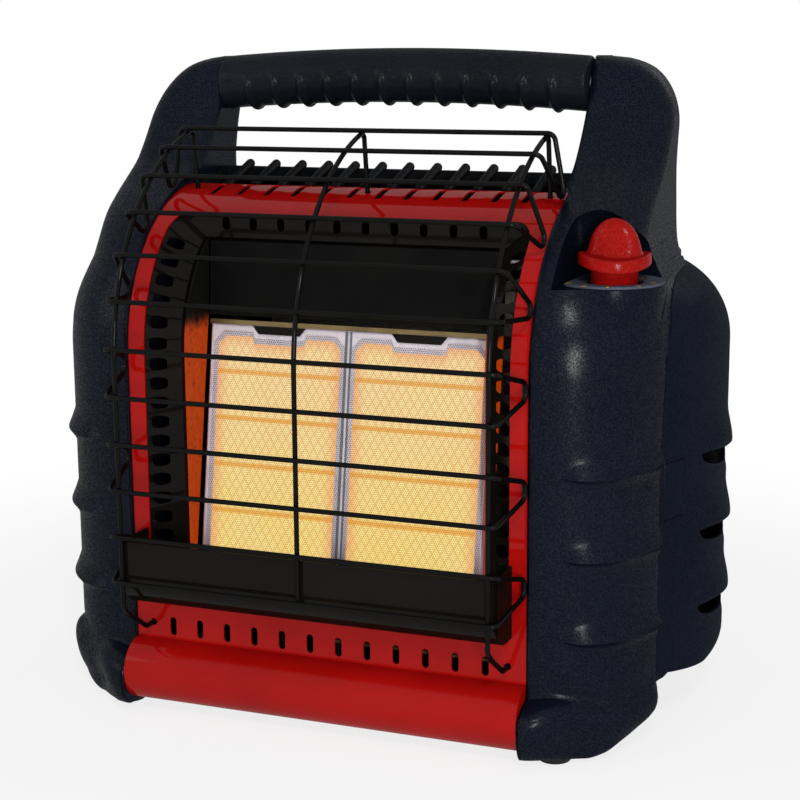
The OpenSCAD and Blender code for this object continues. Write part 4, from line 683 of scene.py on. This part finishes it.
def columnRings():
    shares = {
        "foot": (0, 0.03, 0.07, 0.12, 0.2, 0.32, 0.44, 0.56, 0.66, 0.75, 0.82, 0.88, 0.93, 0.97, 1),
        "shin": (0.06, 0.13, 0.22, 0.35, 0.5, 0.75, 1),
        "plain": (0.2, 0.4, 0.6, 0.8, 1),
        "under": (0.2, 0.4, 0.58, 0.74, 0.87, 0.95, 1),
        "over": (0.05, 0.15, 0.3, 0.45, 0.6, 0.75, 0.88, 0.95, 1),
    }
    level, side = foot["deck"], foot["deckX"]
    deck = [(min(x, side) if y > -75 else x, y, level) for x, y, z in panelRing(level, foot["deckInset"])]
    lines = [(kind, 0, share) for kind in ("foot", "shin") for share in shares[kind]]
    for k in range(len(gill["tips"])):
        lines += [(kind, k, share) for kind in ("plain", "under", "over") for share in shares[kind]]
    straightZ = 100  # below the arch every level has the same outline
    rings = [deck] + [panelRing(straightZ, line=line) for line in lines]
    top = max(p[2] for p in rings[-1]) + 2
    count = int((column["roofZ"] - top) / (2))
    rings += [panelRing(z) for z in span(top, column["roofZ"], count)]
    rings.append(panelRing(column["roofZ"] + 0.05, arm=True))
    armLevels = span(column["roofZ"] + 2, column["rimZ"], 40)
    armLevels += span(column["rimZ"] + 1, column["topZ"], 6)
    return rings + [panelRing(z, arm=True) for z in armLevels]


def wedge(radius, z0, z1):
    # a flat piece of the bay bounded by a circle about the door's axis
    y0, y1 = bay["frontY"], bay["rearY"] + column["wall"]
    start, end = [math.degrees(math.asin(max(-1, min(1, (y - pod["y"]) / radius)))) for y in (y0, y1)]
    arc = [polar((pod["x"], pod["y"]), radius, a) for a in span(start, end, 40)]
    edge = [(bay["innerX"], y0)] + arc + [(bay["innerX"], y1)]
    return lofted([[(x, y, z) for x, y in edge] for z in (z0, z1)])


def drainedFloor():
    # the bay's floor, with its drain hole
    cx, cy, r = bay["drain"]
    dx, dy = cx - pod["x"], cy - pod["y"]
    y0, y1 = bay["frontY"], bay["rearY"] + column["wall"]
    low, high = bay["floorZ"], bay["floorZ"] + column["wall"]
    loops = []
    for a in span(0, 360, 120, False):
        c, s = heading(a)
        along = dx * c + dy * s
        reach = -along + math.sqrt(along ** 2 - dx ** 2 - dy ** 2 + bay["floorRadius"] ** 2)
        if c < -0.01:
            reach = min(reach, (bay["innerX"] - cx) / c)
        if abs(s) > 0.01:
            reach = min(reach, ((y1 if s > 0 else y0) - cy) / s)
        corners = ((r, low), (reach, low), (reach, high), (r, high))
        loops.append([(cx + d * c, cy + d * s, z) for d, z in corners])
    return lofted(loops + [loops[0]], False)


def sleeve(z, height):
    # a ring about the hinge's pin
    low, high = hinge["bore"], hinge["radius"]
    profile = [(low, z), (high, z), (high, z + height), (low, z + height)]
    return turnedOn(profile, (hinge["x"], hinge["y"]), 32)


def bayParts():
    # the cylinder bay behind the column: walls, floor, skirt, roof and hinge bosses
    w, x0, y0, y1 = column["wall"], bay["innerX"], bay["frontY"], bay["rearY"]
    z0, z1 = bay["baseZ"], column["roofZ"] + column["wall"]
    parts = [
        slab((x0, y0, z0), (x0 + w, y1 + w, z1), 0.6), slab((x0, y1, z0), (bay["rearX"], y1 + w, z1), 0.6),
        slab((x0, y0, z0), (bay["frontX"], y0 + w, z1), 0.6),
        wedge(bay["roofRadius"], doorEdge["topZ"] + 0.5, z1), drainedFloor(),
    ]
    r, top = bay["skirtRadius"], bay["floorZ"] + 0.5
    skirt = [(r - w, z0), (r, z0), (r, top), (r - w, top)]
    parts.append(turnedOn(skirt, (pod["x"], pod["y"]), 60, bay["skirtFrom"], bay["skirtTo"]))
    left, front, right = bay["cornerPlate"]
    parts.append(slab((left, front, z0), (right, y1 + w, z0 + w), 0.8))
    x, y, h = hinge["x"], hinge["y"], hinge["bossHeight"]
    for z in hinge["bosses"]:
        parts.append(sleeve(z, h))
        parts.append(slab((x - 13, y - 4, z), (x - 3.8, y + 2.4, z + h), 0.5))
        parts.append(slab((x - 16, y - 4, z), (x - 12.5, y1 + 0.5, z + h), 0.5))
    return parts


shoulder = {"lowZ": 258, "topZ": 286.4, "fairTo": 283, "rearY": 44, "thick": 3}


def shoulderPart():
    # the thin shoulder between the column, the arm and the door's rounded corner
    rings, thick = [], shoulder["thick"]
    for z in span(shoulder["lowZ"], shoulder["topZ"], 30):
        end = max(column["backY"] + 0.5, min(seamY(z), shoulder["rearY"]))
        depths = span(column["rearWallY"], end, 14)
        fair = z < shoulder["fairTo"]
        rows = [(max(outerX(z), podX(y, z, 0.4)) if fair else outerX(z), y) for y in depths]
        rings.append([(x, y, z) for x, y in rows] + [(x - thick, y, z) for x, y in reversed(rows)])
    return lofted(rings)


def sidePanel(side):
    hollow = [panelRing(z, column["wall"], solid=False) for z in span(foot["top"] + 2, column["hollowZ"], 60)]
    outer = gather(lofted(columnRings()), insideOut(lofted(hollow)))
    name, finish, slot = "panel_shell_" + side, finishes["navy_plastic"], "navy_plastic"
    replaced = ["side_panel_" + side]
    piece = addPiece(name, *onSide(side, outer), finish, "housing", slot, replaced, 28)
    if side == "right":
        carveNiche(piece, finish)
    rest = gather(*bayParts(), shoulderPart())
    addPiece(name + "_bay", *onSide(side, rest), finish, "housing", slot)


knob = {
    "x": 166.5, "y": -61, "collarRadius": 13.8, "rimRadius": 21.3, "rimZ": 294.5, "rimThick": 7.4,
    "edge": 1.6, "wave": 1.8, "waveTurn": 40, "wingLength": 15.6, "wingHeight": 22, "wingHalf": 6.8,
    "foot": 259,
}
niche = {  # plan sections of the niche over the knob's ledge, by height
    "ledgeZ": 281, "topZ": 325.4, "frontY": -135, "holeRadius": 17, "holeZ": 243,
    "left": [(281, 139), (300, 140), (312, 140.8), (318, 142.5), (322, 146), (324, 150), (325.4, 156)],
    "back": [(281, -21), (286, -22), (294, -28), (305, -37.5), (312, -43), (318, -47), (325.4, -52)],
    "right": [(281, 230), (296, 230), (301, 203), (305, 190), (312, 178), (317, 172.5), (321, 167.5),
              (324, 162), (325.4, 158)],
    "corner": [(281, 26), (300, 22), (315, 14), (325.4, 8)],
    "boss": (162.5, -54),
    "bossEdge": [(0.01, 230), (17, 230), (27.4, 247), (30, 256), (31.3, 264), (32.2, 272), (32.6, 278),
                 (32.5, 280.2), (32, 281), (0.01, 281)],
}


def nicheRing(z):
    left, back, right, corner = [curveAt(niche[key], z) for key in ("left", "back", "right", "corner")]
    corner = min(corner, (right - left) * 0.45)
    turns = [heading(a) for a in span(0, 90, 14)]
    ring = [(left, niche["frontY"]), (left, (niche["frontY"] + back) / 2)]
    ring += [(left + corner - corner * c, back - corner + corner * s) for c, s in turns]
    ring += [(right - corner + corner * s, back - corner + corner * c) for c, s in turns]
    return [(x, y, z) for x, y in ring + [(right, niche["frontY"])]]


def carveNiche(piece, finish):
    # boss under the ledge, then the domed niche and the knob's hole
    combine(piece, turnedOn(niche["bossEdge"], niche["boss"], 110), finish, 28, "UNION")
    rings = [nicheRing(z) for z in span(niche["ledgeZ"], niche["topZ"], 34)]
    combine(piece, lofted(rings), finish, 28)
    r, low, high = niche["holeRadius"], niche["holeZ"], niche["ledgeZ"] + 3
    hole = turnedOn([(0.01, low), (r, low), (r, high), (0.01, high)], (knob["x"], knob["y"]), 72)
    combine(piece, hole, finish, 28)


for side in ("right", "left"):
    sidePanel(side)
print("side panels made")


vent = {  # slots with a hood above each; heights are of the slots' upper edges at the front
    "tops": (78, 126, 174), "from": -12, "to": 17, "height": 10, "drop": 9,
    "hood": 3.4, "hoodLow": -1.5, "hoodRidge": 2.5, "hoodHeight": 26, "dip": 0.9, "dipLow": -16,
    "fadeFrom": -13, "fadeTo": 34, "fadeSweep": 14, "toolRadii": (160, 196), "bulge": 2.6,
}
catch = {  # profile: how far in from the edge, and how far out from the door
    "y0": -60, "y1": -38, "z0": 140, "z1": 178, "corner": 2.5,
    "profile": [(0, -1.2), (0, 0.4), (0.3, 0.75), (1.2, 0.75), (1.45, 0.25), (2.0, 0.25), (2.25, 0.75),
                (4, 0.75), (7, 0.75), (10.6, 0.75)],
}


def ventTop(k, angle):
    # the slots' upper edges fall towards the back
    return vent["tops"][k] - vent["drop"] * ease((angle - vent["from"]) / (vent["to"] - vent["from"]))


def hoodSwell(angle, z):
    # a hood stands out over each slot, with a shallow dip under it
    low, ridge, dipLow = vent["hoodLow"], vent["hoodRidge"], vent["dipLow"]
    rise, fall = angle - vent["fadeFrom"], vent["fadeTo"] - angle
    fade = ease(rise / vent["fadeSweep"]) * ease(fall / vent["fadeSweep"])
    for k in range(len(vent["tops"])):
        dz = z - ventTop(k, angle)
        if low < dz <= ridge:
            return vent["hood"] * fade * ease((dz - low) / (ridge - low))
        if ridge < dz < vent["hoodHeight"]:
            return vent["hood"] * fade * (1 - ease((dz - ridge) / (vent["hoodHeight"] - ridge)))
        if dipLow < dz <= low:
            return -vent["dip"] * fade * math.sin(math.pi * (dz - dipLow) / (low - dipLow))
    return 0


def doorPart():
    # the pod's wall revolved about its axis, outer face then inner face, clipped afterwards
    bottom, dome, domeZ, w = pod["bottomRadius"], pod["domeRadius"], pod["domeZ"], pod["wall"]
    r = pod["radius"]
    lower, upper = map(heading, span(8, 90, 12)), map(heading, span(3, 82, 26))
    profile = [(r - bottom * (1 - s), pod["lowZ"] + bottom * (1 - c)) for c, s in lower]
    profile += [(r, z) for z in span(48, domeZ, 118)]
    profile += [(r - dome * (1 - c), domeZ + dome * s) for c, s in upper]
    loops = []
    for angle in span(-30, pod["endAngle"], 120):
        c, s = heading(angle)
        loop = []
        for q, z in profile:
            reach = q + hoodSwell(angle, z)
            loop.append((pod["x"] + reach * c, pod["y"] + reach * s, z))
        for q, z in reversed(profile):
            slack = ease((z - domeZ) / 40) * w
            reach = q - w + slack * 0.8 + min(hoodSwell(angle, z), 0)
            loop.append((pod["x"] + reach * c, pod["y"] + reach * s, z - slack))
        loops.append(loop)
    return lofted(loops)


def doorOutline():
    # the door's side outline as a tool that keeps what is inside it
    e = doorEdge
    edge = [(e["frontY"], e["lowZ"]), (e["levelY"], e["rearLowZ"]), (e["rearY"], e["rearLowZ"]),
            (e["rearY"], e["topZ"])]
    low, high = e["corner"][0][0], e["corner"][-1][0]
    for t in span(0, 1, 60):
        z = high - (high - low) * t ** 1.6
        edge.append((curveAt(e["corner"], z), z))
    return lofted([[(x, y, z) for y, z in edge] for x in e["toolX"]])


def ventTools():
    axis, start, end = (pod["x"], pod["y"]), vent["from"], vent["to"]
    parts = []
    for k in range(len(vent["tops"])):
        edge = [(angle, ventTop(k, angle)) for angle in span(start, end, 26)]
        for angle in span(end, start, 26)[1:-1]:
            t = (angle - start) / (end - start)
            deep = (1 - abs(2 * t - 1) ** vent["bulge"]) ** 0.5
            edge.append((angle, ventTop(k, angle) - vent["height"] * deep))
        parts.append(lofted([[(*polar(axis, r, a), z) for a, z in edge] for r in vent["toolRadii"]]))
    return gather(*parts)


def catchPart():
    # a low latch plate on the door's front edge, with a double border
    c = catch
    rings = []
    for inset, lift in c["profile"]:
        r = max(0.2, c["corner"] - inset)
        y0, y1, z0, z1 = c["y0"] + inset + r, c["y1"] - inset - r, c["z0"] + inset + r, c["z1"] - inset - r
        ring = []
        for cy, cz, start in ((y1, z1, 0), (y0, z1, 90), (y0, z0, 180), (y1, z0, 270)):
            corner = [polar((cy, cz), r, start + a) for a in (0, 30, 60, 90)]
            ring += [(podX(y, pod["domeZ"], -lift), y, z) for y, z in corner]
        rings.append(ring)
    return lofted(rings)


def hingeParts():
    # two knuckles, each with a web to the door's rear edge
    x, y, h = hinge["x"], hinge["y"], hinge["knuckleHeight"]
    c, s = heading(pod["endAngle"])
    web = [(x + u * c - v * s, y + u * s + v * c) for u, v in hinge["web"]]
    parts = []
    for low in hinge["knuckles"]:
        parts.append(sleeve(low, h))
        parts.append(lofted([[(*p, z) for p in web] for z in (low + 1, low + h - 1)]))
    return parts


for side in ("right", "left"):
    body, slot = "door_" + side, "navy_plastic"
    door = addPiece("door_shell_" + side, *onSide(side, doorPart()), doorNavy, body, slot, [body], 30)
    combine(door, onSide(side, doorOutline()), doorNavy, 30, "INTERSECT")
    combine(door, onSide(side, ventTools()), doorNavy, 30)
    addPiece("door_catch_" + side, *onSide(side, catchPart()), doorNavy, body, slot, crease=40)
    addPiece("door_knuckles_" + side, *onSide(side, gather(*hingeParts())), doorNavy, body, slot)
print("doors made")


def knobWave(angle):
    # how far the rim is bent up at an angle
    return knob["wave"] * math.cos(math.radians(2 * angle - knob["waveTurn"]))


def knobParts():
    k, cx, cy = knob, knob["x"], knob["y"]
    r, low, under = k["collarRadius"], k["foot"], k["rimZ"] - 2
    collar = [(12, low), (r - 0.4, low), (r, low + 1), (r, k["rimZ"] - 4), (r + 1, under), (12, under)]
    parts = [turnedOn(collar, (cx, cy), 72)]
    # rim: a thick disc with a soft square edge and a wave in it
    half, edge, r = k["rimThick"] / 2, k["edge"], k["rimRadius"]
    section = [(0.01, -half), (r - edge - 1, -half)]
    for sign, angles in ((-1, span(-90, 0, 7)), (1, span(0, 90, 7))):
        section += [polar((r - edge, sign * (half - edge)), edge, a) for a in angles]
    section += [(r - edge - 1, half), (0.01, half)]
    rings = []
    for a in span(0, 360, 120, False):
        c, s = heading(a)
        wave = knobWave(a)
        rings.append([(cx + q * c, cy + q * s, k["rimZ"] + z + wave * (q / r) ** 2) for q, z in section])
    rings.append(rings[0])
    parts.append(lofted(rings, False))
    # wing: a domed half disc that flares into the rim
    rings = []
    for t in span(0, 1, 34):
        h = k["wingHeight"] * math.sin(t * math.pi / 2)
        up = h / k["wingHeight"]
        length = max(0.3, k["wingLength"] * math.sqrt(max(0, 1 - up ** 2.1))) + 3.2 * math.exp(-h / 1.5)
        width = max(0.2, k["wingHalf"] * math.sqrt(max(0, 1 - up ** 2.8))) + 3.4 * math.exp(-h / 2.4)
        ring = []
        for a in span(0, 360, 72, False):
            c, s = heading(a)
            u = length * math.copysign(abs(c) ** 0.8, c)
            v = width * math.copysign(abs(s) ** 0.8, s)
            wave = knobWave(math.degrees(math.atan2(v, u)))
            lift = wave * ((u * u + v * v) / r ** 2) * math.exp(-h / 3)
            ring.append((cx + u, cy + v, k["rimZ"] + half - 0.8 + h + lift))
        rings.append(ring)
    parts.append(lofted(rings))
    return gather(*parts)


addPiece("knob_moulding", *knobParts(), finishes["red_plastic"], "knob", "red_plastic", ["knob"], 50)

dial = {"radius": 31.6, "minX": 140.6, "hole": 17, "z": 281, "thick": 1.5, "tickLength": 3.6, "tickHalf": 0.8,
        "ticks": [(143.4, -75), (155.1, -84.3), (169, -83.9), (184, -74.3), (188.9, -59.2), (177.6, -40.1)]}


def dialParts():
    # the ledge's plate: a disc about the boss, with a hole about the knob
    z, thick, hole, disc = dial["z"], dial["thick"], dial["hole"], dial["radius"]
    knobAxis, boss = (knob["x"], knob["y"]), niche["boss"]
    # the section's corners: centre, radius, how far the flat side is set in, height
    section = [(knobAxis, hole, 0, 0), (boss, disc, 0, 0), (boss, disc, 0, thick - 0.4),
               (boss, disc - 0.4, 0.4, thick), (knobAxis, hole + 0.5, 0, thick),
               (knobAxis, hole, 0, thick - 0.5)]
    loops = []
    for a in span(0, 360, 120, False):
        loop = []
        for centre, radius, inset, h in section:
            x, y = polar(centre, radius, a)
            loop.append((max(x, dial["minX"] + inset), y, z + h))
        loops.append(loop)
    return lofted(loops + [loops[0]], False)


def tickParts():
    # each tick points at the knob's axis
    parts = []
    for x, y in dial["ticks"]:
        along = Vector((knob["x"] - x, knob["y"] - y)).normalized()
        across = Vector((-along.y, along.x)) * dial["tickHalf"]
        along *= dial["tickLength"] / 2
        shares = ((-1, -1), (1, -0.7), (1, 0.7), (-1, 1))
        corners = [Vector((x, y)) + along * u + across * v for u, v in shares]
        top = dial["z"] + dial["thick"]
        parts.append(lofted([[(p.x, p.y, z) for p in corners] for z in (top - 0.3, top + 0.15)]))
    return gather(*parts)


addPiece("dial_ledge", *dialParts(), dialTop, "housing", "black_plastic", ["dial_plate"])
addPiece("dial_ticks", *tickParts(), tickPaint, "housing", "black_plastic")
print("knob and dial made")


grip = {
    "halfLength": 125.8, "y": 30, "z": 392.5, "radius": 17.5, "rise": 5, "ribPitch": 19, "ribs": 12,
    "ribProud": 2.4, "ribHalf": 3.6,
}


def gripPart():
    g = grip
    bow = (g["halfLength"] ** 2 + g["rise"] ** 2) / (2 * g["rise"])
    rings = []
    for x in span(-g["halfLength"], g["halfLength"], 330):
        lift = math.sqrt(bow ** 2 - x ** 2) - (bow - g["rise"])
        edge = min(1, (g["halfLength"] - abs(x)) / 1.2)
        r = g["radius"] - 0.8 * (1 - math.sqrt(max(0, 1 - (1 - edge) ** 2)))
        along = abs((x / g["ribPitch"] - (g["ribs"] - 1) / 2) % 1)
        nearest = min(along, 1 - along) * g["ribPitch"]
        ribbed = abs(x) < g["ribPitch"] * (g["ribs"] / 2)
        rib = math.exp(-(nearest / (g["ribHalf"] * 0.62)) ** 2) if ribbed else 0
        ring = []
        for a in span(0, 360, 72, False):
            # 0 is the front, 90 the top; the ribs fill the lower half
            c, s = heading(a)
            under = ease((math.cos(math.radians(a + 82)) + 0.18) / 0.5)
            swell = r + g["ribProud"] * rib * under - 0.5 * under
            ring.append((x, g["y"] - swell * c, g["z"] + lift + swell * s))
        rings.append(ring)
    return lofted(rings)


addPiece("grip_ribbed", *gripPart(), finishes["grip_plastic"], "housing", "grip_plastic", ["handle_grip"], 50)
print("grip made")


def onBurner(x, y, z):
    c, s = heading(burner["lean"])
    return (x, burner["y"] + y * c + z * s, burner["z"] - y * s + z * c)


def plaqueDepth(x, z):
    # the tile's face: a flat border, then a field of raised diamonds
    b = burner
    dx, dz = min(x, b["width"] - x), b["height"] - z
    corner = (dx + dz) * b["cornerSlope"] - b["cornerCut"]
    notch = b["height"] - z - b["notchBorder"] + 3 * max(0, abs(x - b["width"] / 2) - b["notchHalf"])
    field = ease(min(dx - b["sideBorder"], dz - b["endBorder"], corner, notch) / 1.2)
    up, down = x / b["diamond"] + z / b["diamondRise"], x / b["diamond"] - z / b["diamondRise"]
    ridge = max(abs(up % 1 - 0.5), abs(down % 1 - 0.5)) * 2
    return field * (b["recess"] - b["diamondDepth"] * ease((ridge - 0.7) / 0.3))


def plaqueParts(sign):
    step = burner["step"]
    nx, nz = int(burner["width"] / step), int(burner["height"] / step)
    points, faces = [], []
    for j in range(nz + 1):
        for i in range(nx + 1):
            x, z = burner["width"] * i / nx, burner["height"] * j / nz
            points.append(onBurner(sign * (1 + x), plaqueDepth(x, z), z))
    for j in range(nz):
        for i in range(nx):
            a = j * (nx + 1) + i
            faces.append((a, a + 1, a + nx + 2, a + nx + 1))
    # sides and back
    edge = list(range(nx + 1)) + [(j + 1) * (nx + 1) - 1 for j in range(1, nz + 1)]
    edge += [nz * (nx + 1) + i for i in range(nx - 1, -1, -1)] + [j * (nx + 1) for j in range(nz - 1, 0, -1)]
    start = len(points)
    for index in edge:
        j, i = divmod(index, nx + 1)
        x, z = burner["width"] * i / nx, burner["height"] * j / nz
        points.append(onBurner(sign * (1 + x), burner["thick"], z))
    count = len(edge)
    for n in range(count):
        m = (n + 1) % count
        faces.append((edge[n], edge[m], start + m, start + n))
    faces.append(tuple(range(start, start + count)))
    return points, faces


for side, sign in (("right", 1), ("left", -1)):
    replaced = ["plaque_" + side]
    addPiece("plaque_tile_" + side, *plaqueParts(sign), tileGlowAndPaintedLight, "housing", "ceramic", replaced, 60)
# the side reflectors show a painted reflection of the tiles' glow
for side in ("left", "right"):
    nodes["reflector_" + side].data.materials[0] = paintedGlowReflection.material
nodes["reflector_top"].data.materials[0] = dullBlack.material
nodes["burner_trim"].data.materials[0] = darkenedBrass.material
print("plaques made")

studio = {
    "world": 0.32, "key": 11, "keySize": 0.3, "fill": 5, "rim": 3, "low": 13, "lowSize": 0.2, "lowTall": 0.5,
    "floorNear": 0.8, "nearRadius": 0.3, "farRadius": 0.75, "floorReach": 6,
}

world = Finish("studioWorld", True)
bpy.context.scene.world = world.material
sky = world.add("ShaderNodeBackground", None, {"Color": (0.97, 0.98, 1, 1), "Strength": studio["world"]})
world.whitened(sky, "ShaderNodeBackground", 1)

# the floor keeps the object's shadow near it and goes over into the backdrop further out
reach = studio["floorReach"]
floorMesh = bpy.data.meshes.new("floor")
corners = [(-reach, -reach, 0), (reach, -reach, 0), (reach, reach, 0), (-reach, reach, 0)]
floorMesh.from_pydata(corners, [], [(0, 1, 2, 3)])
floor = placed("floor", floorMesh)
paint = Finish("floorPaint")
paint.surface(Base_Color=(0.95, 0.95, 0.95), Roughness=0.9, Specular_IOR_Level=0.1)
away = paint.add("ShaderNodeVectorMath", {"operation": "LENGTH"}, {0: paint.place}, 1)
near, far = studio["nearRadius"], studio["farRadius"]
beyond = away.above((far + near) / 2, (far - near) / 2)
paint.whitened(paint.shader, "ShaderNodeEmission", beyond * (1 - studio["floorNear"]) + studio["floorNear"])
floorMesh.materials.append(paint.material)


def areaLight(name, place, target, size, power, tall=None):
    light = bpy.data.lights.new(name, "AREA")
    light.shape, light.size, light.size_y, light.energy = "ELLIPSE", size, tall or size, power
    lamp = placed(name, light)
    lamp.location = place
    lamp.rotation_euler = (Vector(target) - Vector(place)).to_track_quat("-Z", "Y").to_euler()


middle = (0, 0, 0.2)
areaLight("keyLight", (0.75, -1.55, 1.35), middle, studio["keySize"], studio["key"])
areaLight("fillLight", (-1.5, -1.2, 0.9), middle, 1.2, studio["fill"])
areaLight("rearLight", (0.6, 1.6, 1.3), middle, 1.0, studio["rim"])
areaLight("lowLight", (0.9, -1.55, 0.32), middle, studio["lowSize"], studio["low"], studio["lowTall"])

view = {"azimuth": 21.6, "elevation": 11.49, "roll": -0.33, "eye": (0.4355, -1.0641, 0.4223),
        "focal": 1796, "frame": 800, "middle": (408.9, 401.3)}
a, e, r = [math.radians(view[key]) for key in ("azimuth", "elevation", "roll")]
right = Vector((math.cos(a), math.sin(a), 0))
back = Vector((math.sin(a) * math.cos(e), -math.cos(a) * math.cos(e), math.sin(e)))
up = back.cross(right)
right, up = right * math.cos(r) + up * math.sin(r), up * math.cos(r) - right * math.sin(r)
lens = bpy.data.cameras.new("camera")
lens.sensor_width = 36
lens.lens = view["focal"] / view["frame"] * lens.sensor_width
lens.shift_x = (view["frame"] / 2 - view["middle"][0]) / view["frame"]
lens.shift_y = (view["middle"][1] - view["frame"] / 2) / view["frame"]
lens.clip_start, lens.clip_end = 0.05, 50
camera = placed("camera", lens)
camera.matrix_world = Matrix.Translation(view["eye"]) @ Matrix((right, up, back)).transposed().to_4x4()
bpy.context.scene.camera = camera
bpy.context.scene.view_settings.view_transform = "Standard"
print("stage set")
